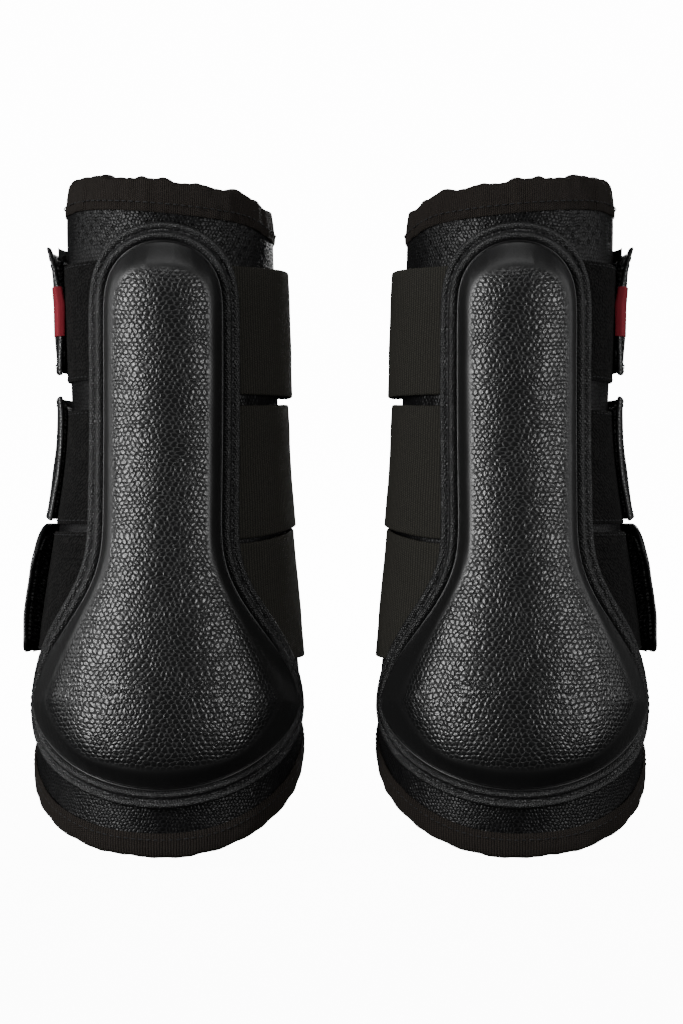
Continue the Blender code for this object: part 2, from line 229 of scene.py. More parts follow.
def lean_in(angle, z):
    """How far the wall leans in under the top binding."""
    return -1.5 * MM * smooth((z - top_edge(angle) + 15 * MM) / (15 * MM))


def degrees_of(length, z):
    return np.degrees(length / half_width(z))


def pad_middle(z):
    return -degrees_of(sway(z), z)


def pad_half_angle(z):
    shaft = np.degrees(np.arcsin(PAD_HALF_WIDTH / (half_width(z) + 3 * MM)))
    return mix(shaft, PAD_CORNER_ANGLE, smooth((PAD_NECK - z) / (PAD_NECK - PAD_CORNER)))


def pad_edge_angle(z, toward):
    return pad_middle(z) + toward * (pad_half_angle(z) - degrees_of(PAD_TUCK, z))


def strap_height(index, angle, v):
    low, high = STRAP_BANDS[index]
    return mix(low, high, v) + STRAP_CLIMBS[index] * smooth((angle - HINGE_ANGLE) / 140)


def strap_out(index, angle):
    """The underside of a strap over the leather."""
    landed = STRAP_SIT + LOOP_THICK + HOOK_THICK + GAP * 2
    return mix(STRAP_SIT + STRAP_STANDS[index], landed, np.clip((angle - 192) / 24, 0, 1))


def tab_out(index, angle, v):
    """The underside of a tab over the leather."""
    curl = np.clip((angle - 266) / (TAB_END - 266), 0, None)
    stand = np.interp(v, (0, 0.28, 0.55, 0.82, 1), TAB_STANDS[index])
    return strap_out(index, angle) + STRAP_THICK + GAP + stand * curl**1.6


# ---- surfaces ----


def noise(seed, x, y):
    """Smooth noise from -1 to 1, one cell to a unit."""
    table = np.random.default_rng(seed).random((256, 256)) * 2 - 1
    x0, y0 = np.floor(x).astype(int), np.floor(y).astype(int)
    u, v = smooth(x - x0), smooth(y - y0)
    a = table[x0 % 256, y0 % 256]
    b = table[(x0 + 1) % 256, y0 % 256]
    c = table[x0 % 256, (y0 + 1) % 256]
    d = table[(x0 + 1) % 256, (y0 + 1) % 256]
    return mix(mix(a, b, u), mix(c, d, u), v)


def edged(start, end, step, edge):
    """Places from start to end, crowded within `edge` of both ends so that the edge is round."""
    crowd = edge * np.array([0, 0.06, 0.22, 0.5])
    count = max(2, round((end - start - 2 * edge) / step))
    inner = np.linspace(start + edge, end - edge, count + 1)
    return np.concatenate([start + crowd, inner, (end - crowd)[::-1]])


def rounding(distance, radius):
    """Share of the full thickness at a distance from a rounded edge."""
    t = np.clip(distance / radius, 0, 1)
    return np.sqrt(1 - (1 - t) ** 2)


def new_piece(name, points, faces, uv, material, flip, values=None):
    mesh = bpy.data.meshes.new(name)
    if flip:
        faces = faces[:, ::-1]
    mesh.vertices.add(len(points))
    mesh.vertices.foreach_set("co", np.asarray(points, np.float32).ravel())
    mesh.loops.add(faces.size)
    mesh.loops.foreach_set("vertex_index", faces.ravel().astype(np.int32))
    mesh.polygons.add(len(faces))
    size = faces.shape[1]
    mesh.polygons.foreach_set("loop_start", np.arange(0, faces.size, size, dtype=np.int32))
    mesh.polygons.foreach_set("loop_total", np.full(len(faces), size, np.int32))
    mesh.update(calc_edges=True)
    mesh.validate()
    layer = mesh.uv_layers.new(name="flat")
    index = np.zeros(len(mesh.loops), np.int32)
    mesh.loops.foreach_get("vertex_index", index)
    layer.data.foreach_set("uv", np.asarray(uv, np.float32)[index].ravel())
    for key, value in (values or {}).items():
        mask = mesh.attributes.new(key, "FLOAT", "POINT")
        mask.data.foreach_set("value", np.asarray(value, np.float32))
    mesh.polygons.foreach_set("use_smooth", np.ones(len(mesh.polygons), bool))
    mesh.materials.append(material)
    obj = bpy.data.objects.new(name, mesh)
    bpy.context.scene.collection.objects.link(obj)
    return obj


def rows_of(across, up):
    """The places across, repeated in a row for each place up."""
    return np.broadcast_to(across, (len(up), len(across))).copy()


def lengths_along(points):
    return np.concatenate([[0], np.cumsum(np.linalg.norm(np.diff(points, axis=0), axis=1))])


def quads(ids):
    return np.stack([ids[:-1, :-1], ids[:-1, 1:], ids[1:, 1:], ids[1:, :-1]], -1).reshape(-1, 4)


def lay_sheet(name, side, angle, z, out, half, uv, material, values=None):
    """A closed sheet on the boot: rows up, columns round, `half` its thickness each way."""
    rows, cols = angle.shape
    half = half.copy()
    half[0], half[-1], half[:, 0], half[:, -1] = 0, 0, 0, 0
    top = wrap(side, angle, z, out + half)
    low = wrap(side, angle, z, out - half)[1:-1, 1:-1]
    ids = np.arange(rows * cols).reshape(rows, cols)
    low_ids = ids.copy()
    low_ids[1:-1, 1:-1] = rows * cols + np.arange((rows - 2) * (cols - 2)).reshape(rows - 2, -1)
    points = np.concatenate([top.reshape(-1, 3), low.reshape(-1, 3)])
    faces = np.concatenate([quads(ids), quads(low_ids)[:, ::-1]])
    flat = np.concatenate([uv.reshape(-1, 2), uv[1:-1, 1:-1].reshape(-1, 2)])
    if values:
        values = {
            key: np.concatenate([value.ravel(), value[1:-1, 1:-1].ravel()])
            for key, value in values.items()
        }
    return new_piece(name, points, faces, flat, material, side < 0, values)


def lay_tube(name, side, angle, z, out, uv, material):
    """A tape whose closed cross-section is the rows, swept over the columns, with capped ends."""
    rows, cols = angle.shape
    points = wrap(side, angle, z, out).reshape(-1, 3)
    ids = np.arange(rows * cols).reshape(rows, cols)
    faces = [quads(np.vstack([ids, ids[:1]]))]
    half = rows // 2
    for column, flip in ((0, False), (cols - 1, True)):
        left, right = ids[:half, column], ids[half:, column][::-1]
        cap = quads(np.stack([left, right], 1))
        faces.append(cap[:, ::-1] if flip else cap)
    return new_piece(name, points, np.concatenate(faces), uv.reshape(-1, 2), material, side < 0)


def flat_uv(angle, z):
    return np.stack([np.radians(angle) * half_width(z), np.broadcast_to(z, angle.shape)], -1)


def strip_uv(angle, z, width):
    return np.stack([np.radians(angle) * width, np.broadcast_to(z, angle.shape)], -1)


def stitch_row(rows, points, lifts, pitch, length, width):
    """Adds stitches along a line of points to rows. lifts are the outward directions."""
    along = lengths_along(points)
    count = max(1, int(along[-1] / pitch))
    places = (np.arange(count) + 0.5) * along[-1] / count

    def at(distance, data):
        return np.stack([np.interp(distance, along, data[:, i]) for i in range(3)], -1)

    middle = at(places, points)
    run = at(places + 0.3 * length, points) - at(places - 0.3 * length, points)
    run /= np.linalg.norm(run, axis=1, keepdims=True)
    lift = at(places, lifts)
    lift /= np.linalg.norm(lift, axis=1, keepdims=True)
    across = np.cross(lift, run)
    rows.append((middle, run, across, lift, length, width))


def sew(name, rows, material):
    """One mesh of all the stitches in rows, each a rounded pill of thread that dips at both ends."""
    rings = np.linspace(0, math.pi, 7)
    turns = np.linspace(0, 2 * math.pi, 7)[:-1]
    points, faces, uvs = [], [], []
    base = 0
    x = -np.cos(rings)[:, None] * np.ones(6)
    girth = np.clip(np.sin(rings), 0.05, 1)[:, None] ** 0.7
    y, z = girth * np.cos(turns), girth * np.sin(turns)
    dip = 0.35 * x**2
    ids = np.arange(42).reshape(7, 6)
    ids = np.concatenate([ids, ids[:, :1]], 1)
    skin = quads(ids)
    caps = np.array([[0, 1, 2, 3], [0, 3, 4, 5], [36, 39, 38, 37], [36, 41, 40, 39]])
    skin = np.concatenate([skin, caps[:, ::-1]])
    for middle, run, across, lift, length, width in rows:
        for m, r, a, n in zip(middle, run, across, lift):
            body = (
                m
                + (x * length / 2)[..., None] * r
                + (y * width / 2)[..., None] * a
                + ((z - dip) * width / 2)[..., None] * n
            )
            points.append(body.reshape(-1, 3))
            faces.append(skin + base)
            uvs.append(np.stack([x * length / 2, y * width / 2], -1).reshape(-1, 2))
            base += 42
    return new_piece(name, np.concatenate(points), np.concatenate(faces), np.concatenate(uvs),
                     material, False)


# ---- holding the pieces and hiding the model parts they replace ----


def fold_line(side, low_angle, high_angle):
    """Two points across a fold."""
    middle = (low_angle + high_angle) / 2
    height = 0.5 * BOOT_HEIGHT
    centre = wrap(side, middle, height, 0)
    ahead = wrap(side, middle + 0.5, height, 0) - wrap(side, middle - 0.5, height, 0)
    ahead[2] = 0
    ahead /= np.linalg.norm(ahead)
    for angle in (low_angle, high_angle):
        reach = (wrap(side, angle, height, 0) - centre) @ ahead
        yield tuple(centre + ahead * reach)


def on_core(obj, word, *nodes):
    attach(obj, word + "_boot")
    replace(obj, word, nodes)


def on_flap(obj, word, *nodes):
    """Bakes a flap piece's place into its mesh and hides the model parts it replaces."""
    side = SIDES[word]
    height = 0.5 * BOOT_HEIGHT
    hinge = wrap(side, HINGE_ANGLE, height, 0)
    ahead = wrap(side, HINGE_ANGLE + 0.5, height, 0) - hinge
    ahead[2] = 0
    ahead /= np.linalg.norm(ahead)
    reach = (wrap(side, FLAP_BEND_END, height, 0) - hinge) @ ahead
    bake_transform(obj)
    replace(obj, word, nodes)


def on_strap(obj, word, index, *nodes):
    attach(obj, f"{word}_strap_{index + 1}")
    replace(obj, word, nodes)


def replace(obj, word, nodes):
    if nodes:
        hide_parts(*(word + "_" + node for node in nodes))


# ---- materials ----


class Nodes:
    """Short words for building a node tree."""

    def __init__(self, tree):
        self.tree = tree

    def join(self, value, socket):
        """Puts a value or the output of another node into a socket."""
        if isinstance(value, bpy.types.NodeSocket):
            self.tree.links.new(value, socket)
        else:
            socket.default_value = value

    def add(self, kind, inputs=None, **settings):
        node = self.tree.nodes.new(kind)
        for key, value in settings.items():
            setattr(node, key, value)
        for key, value in (inputs or {}).items():
            self.join(value, node.inputs[key])
        return node

    def math(self, operation, *values, clamp=False):
        inputs = dict(enumerate(values))
        return self.add("ShaderNodeMath", inputs, operation=operation, use_clamp=clamp).outputs[0]

    def ramp(self, value, low, high, start=0.0, end=1.0):
        inputs = {"Value": value, "From Min": low, "From Max": high, "To Min": start, "To Max": end}
        node = self.add("ShaderNodeMapRange", inputs, interpolation_type="SMOOTHSTEP")
        return node.outputs["Result"]

    def noise(self, vector, scale, detail=2.0, output="Fac"):
        inputs = {"Vector": vector, "Scale": scale, "Detail": detail}
        return self.add("ShaderNodeTexNoise", inputs, noise_dimensions="2D").outputs[output]

    def shared(self, group, inputs):
        return self.add("ShaderNodeGroup", inputs, node_tree=bpy.data.node_groups[group]).outputs

    def shade(self, factor, dark, light):
        inputs = {"Factor": factor, 6: dark, 7: light}
        return self.add("ShaderNodeMix", inputs, data_type="RGBA").outputs[2]

    def blend(self, factor, low, high):
        return self.add("ShaderNodeMix", {0: factor, 2: low, 3: high}).outputs[0]


def new_group(name, inputs, outputs):
    """An empty shader node group with named float inputs and outputs."""
    group = bpy.data.node_groups.new(name, "ShaderNodeTree")
    for label, default in inputs:
        kind = "NodeSocketVector" if default is None else "NodeSocketFloat"
        socket = group.interface.new_socket(label, in_out="INPUT", socket_type=kind)
        if default is not None:
            socket.default_value = default
    for label in outputs:
        group.interface.new_socket(label, in_out="OUTPUT", socket_type="NodeSocketFloat")
    n = Nodes(group)
    return n, n.add("NodeGroupInput").outputs, n.add("NodeGroupOutput").inputs


def scaled(n, vector, size):
    """vector divided by a length."""
    scale = n.math("DIVIDE", 1.0, size)
    return n.add("ShaderNodeVectorMath", {0: vector, "Scale": scale}, operation="SCALE").outputs[0]


def packed_distance(n, place):
    """Distance to the middle of the nearest pebble, with the pebbles packed like honeycomb."""
    row = math.sqrt(3)
    parts = n.add("ShaderNodeSeparateXYZ", {0: place}).outputs
    up = n.math("DIVIDE", parts[1], row)
    reaches = []
    for start in (0.0, 0.5):
        across = n.math("SUBTRACT", n.math("FRACT", n.math("ADD", parts[0], start)), 0.5)
        rise = n.math("SUBTRACT", n.math("FRACT", n.math("ADD", up, start)), 0.5)
        rise = n.math("MULTIPLY", rise, row)
        reaches.append(n.math("ADD", n.math("POWER", n.math("ABSOLUTE", across), 2.0),
                              n.math("POWER", n.math("ABSOLUTE", rise), 2.0)))
    return n.math("SQRT", n.math("MINIMUM", *reaches))


def pebble_group():
    """Pebbled grain: packed round domes, each with a dimple, that wander from straight rows."""
    inputs = [("Vector", None), ("Cell Size", 1.6 * MM), ("Lumps", 0.5)]
    n, given, out = new_group("pebbled_grain", inputs, ("Height", "Crease", "Tone"))
    place = scaled(n, given["Vector"], given["Cell Size"])
    for spread, amount in ((0.16, 1.7), (0.9, 0.62)):
        drift = n.noise(place, spread, 1.0, "Color")
        shift = n.add("ShaderNodeVectorMath", {0: drift, "Scale": amount}, operation="SCALE")
        place = n.add("ShaderNodeVectorMath", {0: place, 1: shift.outputs[0]},
                      operation="ADD").outputs[0]
    reach = packed_distance(n, place)
    lumps = n.noise(place, 2.2, 1.0)
    dome = n.math("SUBTRACT", 1.0, n.math("POWER", n.math("MULTIPLY", reach, 1.72), 2.4), clamp=True)
    dimple = n.math("MULTIPLY", n.ramp(reach, 0.2, 0.0), 0.22)
    height = n.math("SUBTRACT", dome, dimple)
    height = n.math("ADD", height, n.math("MULTIPLY", n.math("SUBTRACT", lumps, 0.5), given["Lumps"]))
    n.join(height, out["Height"])
    n.join(n.ramp(reach, 0.36, 0.54), out["Crease"])
    n.join(n.ramp(n.noise(place, 0.7), 0.3, 0.7), out["Tone"])


def weave_group():
    """Woven ribs: columns across and picks along, a half step apart in each next column."""
    inputs = [("Vector", None), ("Rib Pitch", 1.0 * MM), ("Pick Pitch", 0.5 * MM), ("Ragged", 0.2)]
    n, given, out = new_group("woven_ribs", inputs, ("Height", "Rib", "Thread"))
    ragged = n.noise(given["Vector"], 900.0)
    ragged = n.math("MULTIPLY", n.math("SUBTRACT", ragged, 0.5), given["Ragged"])
    parts = n.add("ShaderNodeSeparateXYZ", {0: given["Vector"]}).outputs
    column = n.math("ADD", n.math("DIVIDE", parts[0], given["Rib Pitch"]), ragged)
    rib = n.math("ABSOLUTE", n.math("SINE", n.math("MULTIPLY", column, math.pi)))
    odd = n.math("MULTIPLY", n.math("FLOOR", column), 0.5)
    pick = n.math("ADD", n.math("DIVIDE", parts[1], given["Pick Pitch"]), odd)
    pick = n.math("ADD", pick, ragged)
    pick = n.math("ABSOLUTE", n.math("SINE", n.math("MULTIPLY", pick, math.pi)))
    height = n.math("MULTIPLY", rib, n.math("ADD", n.math("MULTIPLY", pick, 0.6), 0.4))
    n.join(height, out["Height"])
    n.join(rib, out["Rib"])
    n.join(pick, out["Thread"])


def wear_group():
    """Rubbed edges and settled dust, both faint, as masks."""
    inputs = [("Vector", None), ("Patch Size", 14 * MM)]
    n, given, out = new_group("light_wear", inputs, ("Rubbed", "Dust"))
    place = scaled(n, given["Vector"], given["Patch Size"])
    patch = n.noise(place, 1.0, 4.0)
    specks = n.noise(place, 28.0)
    edges = n.add("ShaderNodeNewGeometry").outputs["Pointiness"]
    rubbed = n.math("MULTIPLY", n.ramp(edges, 0.51, 0.6), n.ramp(patch, 0.35, 0.65))
    n.join(rubbed, out["Rubbed"])
    dust = n.math("MULTIPLY", n.ramp(specks, 0.62, 0.8), n.ramp(patch, 0.45, 0.7))
    n.join(dust, out["Dust"])


def tint(colour, share):
    """The colour made lighter or darker, as the four numbers that a shader takes."""
    return tuple(min(1, share * c) for c in colour) + (1,)


def start_material(name, colour, roughness, constants):
    material = bpy.data.materials.new(name)
    material.use_nodes = True
    material.diffuse_color = (*colour, 1)
    n = Nodes(material.node_tree)
    shader = material.node_tree.nodes["Principled BSDF"]
    shader.inputs["Base Color"].default_value = (*colour, 1)
    shader.inputs["Roughness"].default_value = roughness
    for key, value in constants.items():
        shader.inputs[key].default_value = value
    uv = n.add("ShaderNodeUVMap", uv_map="flat").outputs["UV"]
    return material, n, shader, uv


def worn_colour(n, shader, uv, base, worn):
    """Joins the shared wear to a material's colour."""
    wear = n.shared("light_wear", {"Vector": uv})
    mask = n.math("ADD", n.math("MULTIPLY", wear["Rubbed"], 0.5),
                  n.math("MULTIPLY", wear["Dust"], 0.22), clamp=True)
    n.join(n.shade(mask, base, worn), shader.inputs["Base Color"])


def bump(n, shader, height, depth):
    node = n.add("ShaderNodeBump", {"Height": height, "Strength": 1.0, "Distance": depth})
    n.join(node.outputs["Normal"], shader.inputs["Normal"])


def grained_leather(name, colour, cell, depth, roughness, shine=0.5, holes=False, mask=None):
    """Pebbled black leather. mask names an attribute of the piece that fades the grain."""
    material, n, shader, uv = start_material(name, colour, roughness, {"Specular IOR Level": shine})
    grain = n.shared("pebbled_grain", {"Vector": uv, "Cell Size": cell})
    height = grain["Height"]
    tone_and_crease_shade = n.math("MULTIPLY", grain["Tone"], 0.25)
    # Painted shade: the creases between the pebbles are painted darker. The rest of the tone is the
    # leather's own and differs at random.
    tone_and_crease_shade = n.math("SUBTRACT", tone_and_crease_shade, n.math("MULTIPLY", grain["Crease"], 0.45))
    tone_and_crease_shade = n.math("ADD", tone_and_crease_shade, 0.4, clamp=True)
    gloss = n.ramp(grain["Crease"], 0.0, 1.0, roughness - 0.04, roughness + 0.3)
    if mask:
        cover = n.add("ShaderNodeAttribute", attribute_name=mask).outputs["Fac"]
        fine = n.shared("pebbled_grain", {"Vector": uv, "Cell Size": cell * 0.52})["Height"]
        rim = n.add("ShaderNodeAttribute", attribute_name="rim_grain").outputs["Fac"]
        fine = n.math("MULTIPLY", fine, n.math("ADD", n.math("MULTIPLY", rim, 0.95), 0.1))
        height = n.blend(cover, fine, height)
        tone_and_crease_shade = n.blend(cover, 0.15, tone_and_crease_shade)
        gloss = n.blend(cover, roughness + 0.12, gloss)
    base = n.shade(tone_and_crease_shade, tint(colour, 0.45), tint(colour, 1.5))
    if holes:
        punched = punched_mask(n, uv)
        height = n.math("SUBTRACT", height, n.math("MULTIPLY", punched, 2.5))
        # Painted shade: the punched holes are painted nearly black, for the shade inside them.
        base = n.shade(punched, base, (0.0008, 0.0008, 0.0008, 1))
    worn_colour(n, shader, uv, base, tint(colour, 3.2))
    n.join(gloss, shader.inputs["Roughness"])
    bump(n, shader, height, depth)
    return material


def punched_mask(n, uv):
    """Round holes on a diagonal grid, in a band under the top binding."""
    pitch, radius = 6.2 * MM, 0.8 * MM
    parts = n.add("ShaderNodeSeparateXYZ", {0: uv}).outputs
    level = n.math("ADD", parts[1], n.math("MULTIPLY", parts[0], 0.085))
    column = n.math("DIVIDE", parts[0], pitch)
    row = n.math("DIVIDE", level, pitch * 0.5)
    shift = n.math("MULTIPLY", n.math("FLOOR", row), 0.5)
    across = n.math("SUBTRACT", n.math("FRACT", n.math("ADD", column, shift)), 0.5)
    up = n.math("MULTIPLY", n.math("SUBTRACT", n.math("FRACT", row), 0.5), 0.5)
    reach = n.math("SQRT", n.math("ADD", n.math("POWER", across, 2.0), n.math("POWER", up, 2.0)))
    hole = n.ramp(reach, radius / pitch * 1.25, radius / pitch * 0.75)
    band = n.math("MULTIPLY", n.ramp(level, 0.2475, 0.248), n.ramp(level, 0.263, 0.2625))
    return n.math("MULTIPLY", hole, band)


def woven(name, colour, rib, pick, depth, roughness, constants, light=2.2, ragged=0.25):
    material, n, shader, uv = start_material(name, colour, roughness, constants)
    weave = n.shared("woven_ribs", {"Vector": uv, "Rib Pitch": rib, "Pick Pitch": pick,
                                    "Ragged": ragged})
    # Painted light and shade: the tops of the ribs are painted lighter and the hollows between them
    # darker.
    base = n.shade(weave["Height"], tint(colour, 0.35), tint(colour, light))
    worn_colour(n, shader, uv, base, tint(colour, 4))
    bump(n, shader, weave["Height"], depth)
    return material


def fuzzy(name, colour, pile, depth, roughness, constants):
    """Loop pile, hook tape or brushed cloth: a mat of tiny tufts."""
    material, n, shader, uv = start_material(name, colour, roughness, constants)
    tufts = n.add("ShaderNodeTexVoronoi", {"Vector": uv, "Scale": 1 / pile},
                  voronoi_dimensions="2D", feature="F1").outputs["Distance"]
    tufts = n.math("SUBTRACT", 1.0, tufts)
    clumps = n.noise(uv, 0.2 / pile)
    height = n.math("ADD", tufts, n.math("MULTIPLY", clumps, 0.6))
    # Painted light and shade: the tops of the tufts are painted lighter and the hollows between them
    # darker.
    base = n.shade(n.ramp(height, 0.75, 1.25), tint(colour, 0.4), tint(colour, 3.5))
    worn_colour(n, shader, uv, base, tint(colour, 4))
    bump(n, shader, height, depth)
    return material


def thread(name, colour):
    material, n, shader, uv = start_material(name, colour, 0.6, {"Specular IOR Level": 0.3})
    twist = n.add("ShaderNodeTexWave", {"Vector": uv, "Scale": 900.0, "Distortion": 0.5},
                  bands_direction="DIAGONAL").outputs["Fac"]
    # Painted light and shade: the ridges of the twist are painted lighter and its grooves darker.
    base = n.shade(twist, tint(colour, 0.5), tint(colour, 1.8))
    worn_colour(n, shader, uv, base, tint(colour, 3))
    bump(n, shader, twist, 0.1 * MM)
    return material


FLOOR_GLOW = 14.0


def pale_floor(colour):
    material, n, shader, uv = start_material("pale_floor", colour, 0.9, {})
    mottle = n.add("ShaderNodeTexNoise", {"Vector": uv, "Scale": 40.0, "Detail": 3.0}).outputs["Fac"]
    paper = n.shade(mottle, (*colour, 1), tint(colour, 1.01))
    n.join(paper, shader.inputs["Base Color"])
    depth = n.add("ShaderNodeSeparateXYZ", {0: uv}).outputs[1]
    lit = n.shade(n.ramp(depth, -0.5, 0.9), (0.8, 0.8, 0.8, 1), (1, 1, 1, 1))
    n.join(lit, shader.inputs["Emission Color"])
    shader.inputs["Emission Strength"].default_value = FLOOR_GLOW
    return material


def make_materials(looks):
    if bpy.data.node_groups.get("pebbled_grain") is None:
        pebble_group()
        weave_group()
        wear_group()
    soft = {"Sheen Weight": 0.02, "Sheen Roughness": 0.6, "Specular IOR Level": 0.1}
    matte = {"Specular IOR Level": 0.15}
    leather, pad = tuple(looks.leather_colour), tuple(looks.pad_colour)
    grain = looks.grain_size
    return {
        "shell": grained_leather("shell_leather", leather, grain, 0.18 * MM, 0.38, shine=0.18,
                                 holes=True),
        "tab": grained_leather("tab_leather", tuple(looks.tab_colour), grain, 0.16 * MM, 0.36),
        "pad": grained_leather("moulded_pad_leather", pad, looks.pad_grain_size, 0.24 * MM, 0.34,
                               mask="grain_cover"),
        "tape": woven("ribbed_binding_tape", tuple(looks.tape_colour), looks.tape_rib, 0.75 * MM,
                      0.45 * MM, 0.75, matte, light=5.0),
        "elastic": woven("ribbed_elastic", tuple(looks.elastic_colour), 1.4 * MM, 0.75 * MM,
                         0.3 * MM, 0.75, matte, ragged=0.45),
        "label": woven("red_label_cloth", tuple(looks.label_colour), 0.4 * MM, 0.5 * MM, 0.06 * MM,
                       0.6, soft, light=1.25),
        "lining": fuzzy("padded_lining_cloth", tuple(looks.lining_colour), 0.8 * MM, 0.15 * MM,
                        0.9, soft),
        "loop": fuzzy("loop_pile", tuple(looks.pile_colour), 1.2 * MM, 0.6 * MM, 0.9, soft),
        "hook": fuzzy("hook_tape", tuple(looks.hook_colour), 1.5 * MM, 0.8 * MM, 0.5, matte),
        "thread": thread("black_thread", tuple(looks.thread_colour)),
    }


MATERIALS = {}


def material_for(context, key):
    if not MATERIALS:
        MATERIALS.update(make_materials(context.scene.boot_colours))
    return MATERIALS[key]


# ---- what a user would change ----


def length(name, description, default):
    return FloatProperty(name=name, description=description, default=default, subtype="DISTANCE",
                         unit="LENGTH", min=0.0)


def colour(name, description, default):
    return FloatVectorProperty(name=name, description=description, default=default,
                               subtype="COLOR", size=3, min=0.0, max=1.0)


class BootSizes(bpy.types.PropertyGroup):
    """Sizes of the details laid over the model."""

    bulge: length("Pad bulge", "Height of the pad's middle over the leather", 12.6 * MM)
    slope: length("Pad slope", "Width of the smooth slope inside the rim", 7.4 * MM)
    wrinkle: length("Leather wrinkle", "Depth of the soft wrinkles in the shell", 0.45 * MM)
    scallop: length("Binding scallop", "How far the top binding's edge waves", 1.15 * MM)
    stitch: length("Stitch length", "Length of one stitch", 2.3 * MM)
    stitch_pitch: length("Stitch pitch", "From one stitch to the next", 3.1 * MM)
    thread_width: length("Thread width", "Thickness of the sewing thread", 0.65 * MM)


class BootColours(bpy.types.PropertyGroup):
    """Colours and grain of the finishes."""

    leather_colour: colour("Shell leather", "The pebbled outer leather", (0.0026, 0.0026, 0.0028))
    tab_colour: colour("Tab leather", "The leather on the tabs", (0.006, 0.006, 0.0063))
    pad_colour: colour("Strike pad", "The moulded pad and its rim", (0.0045, 0.0046, 0.0048))
    tape_colour: colour("Binding tape", "The ribbed tape on the edges", (0.0046, 0.0036, 0.0029))
    elastic_colour: colour("Elastic", "The straps", (0.0135, 0.0127, 0.0103))
    lining_colour: colour("Lining", "The padded cloth inside", (0.008, 0.008, 0.0085))
    pile_colour: colour("Loop pile", "The landing patches", (0.0024, 0.0023, 0.0022))
    hook_colour: colour("Hooks", "The hook patches under the tabs", (0.03, 0.03, 0.03))
    label_colour: colour("Label", "The folded label", (0.25, 0.02, 0.032))
    thread_colour: colour("Thread", "The stitching", (0.005, 0.005, 0.0055))
    floor_colour: colour("Floor", "The floor and backdrop", (0.9, 0.9, 0.9))
    grain_size: length("Shell grain", "Size of the shell's pebbles", 1.7 * MM)
    pad_grain_size: length("Pad grain", "Size of the pad's pebbles", 2.1 * MM)
    tape_rib: length("Tape rib", "Pitch of the tape's ribs", 1.0 * MM)


# ---- the pieces ----


def walls():
    """Each wall of each boot: its boot's word and side, its part, its name's prefix, its holder."""
    for word, side in SIDES.items():
        yield word, side, "core", "", on_core
        yield word, side, "flap", "flap_", on_flap


def straps():
    """Each strap of each boot: its boot's word and side, and its place from the top."""
    for word, side in SIDES.items():
        for index in range(3):
            yield word, side, index


def inset(v):
    """How far in each place from 0 to 1 is from the nearer end, as a column."""
    return np.minimum(v, 1 - v)[:, None]


def wall_span(part):
    """Angles of the core or the flap, up to the back seam tapes."""
    inside = DEPTH_SHARE * TOP_HALF_WIDTH - WALL - GAP - TAPE
    margin = math.degrees((GAP + TAPE + GAP) / inside)
    if part == "core":
        return SEAM_ANGLE - 360 + margin, HINGE_ANGLE
    return HINGE_ANGLE, SEAM_ANGLE - margin


def wall_grid(part, step, edge, low_gap=0.0, high_gap=0.0):
    start, end = wall_span(part)
    across = edged(start, end, step / MEAN_RADIUS * RADIAN, edge / MEAN_RADIUS * RADIAN)
    up = edged(0, 1, step / 0.27, edge / 0.27)
    angle = rows_of(across, up)
    low, high = leather_low(angle) + low_gap, leather_top(angle) - high_gap
    z = mix(low, high, up[:, None])
    to_edge = np.minimum(z - low, high - z)
    to_side = np.radians(np.minimum(angle - start, end - angle)) * MEAN_RADIUS
    to_edge = np.minimum(to_edge, to_side)
    return angle, z, to_edge


def leather_ripple(angle, z, depth):
    """Soft upright wrinkles, deepest at the sides."""
    s = np.radians(angle) * (MEAN_RADIUS / MM)
    up = z / MM
    long = noise(3, s / 5.5 + 1.5 * noise(7, s / 14, up / 22), up / 26)
    fine = noise(11, s / 2.4, up / 13)
    broad = noise(19, s / 18, up / 24)
    sides = smooth((np.abs(turned(angle)) - 30) / 35)
    return depth * (0.55 * long * sides + 0.2 * fine * sides + 0.5 * broad)


class BOOTS_OT_shells(bpy.types.Operator):
    """Builds the outer leather of both boots, core and flap"""

    bl_idname = "boots.shells"
    bl_label = "Shell leather"

    def execute(self, context):
        sizes = context.scene.boot_sizes
        leather = material_for(context, "shell")
        for word, side, part, prefix, hold in walls():
            angle, z, to_edge = wall_grid(part, 1.25 * MM, 0.7 * MM)
            half = LEATHER / 2 * rounding(to_edge, 0.7 * MM)
            fade = smooth((leather_top(angle) - z) / (14 * MM)) * smooth(
                (z - leather_low(angle)) / (12 * MM))
            ripple = leather_ripple(angle, z, sizes.wrinkle) * fade
            mid = -LEATHER / 2 + np.clip(ripple, -0.3 * MM, 0.5 * MM)
            mid = mid + lean_in(angle, z)
            name = f"{word}_{prefix}shell_leather"
            obj = lay_sheet(name, side, angle, z, mid, half, flat_uv(angle, z), leather)
            hold(obj, word, prefix + "outer_shell")
        return {"FINISHED"}


class BOOTS_OT_linings(bpy.types.Operator):
    """Builds the soft padded lining of both boots"""

    bl_idname = "boots.linings"
    bl_label = "Padded lining"

    def execute(self, context):
        cloth = material_for(context, "lining")
        for word, side, part, prefix, hold in walls():
            angle, z, to_edge = wall_grid(part, 2.2 * MM, 1.6 * MM)
            half = LINING / 2 * rounding(to_edge, 2.6 * MM)
            s = np.radians(angle) * (MEAN_RADIUS / MM)
            puff = 0.35 * MM * noise(29, s / 16, z / (16 * MM))
            puff = puff + 0.15 * MM * noise(31, s / 5, z / (7 * MM))
            mid = -LEATHER - GAP - LINING / 2 - 0.1 * MM + np.clip(puff, -0.4 * MM, 0.1 * MM)
            mid = mid + lean_in(angle, z)
            name = f"{word}_{prefix}lining_cloth"
            obj = lay_sheet(name, side, angle, z, mid, half, flat_uv(angle, z), cloth)
            hold(obj, word, prefix + "padded_lining")
        return {"FINISHED"}


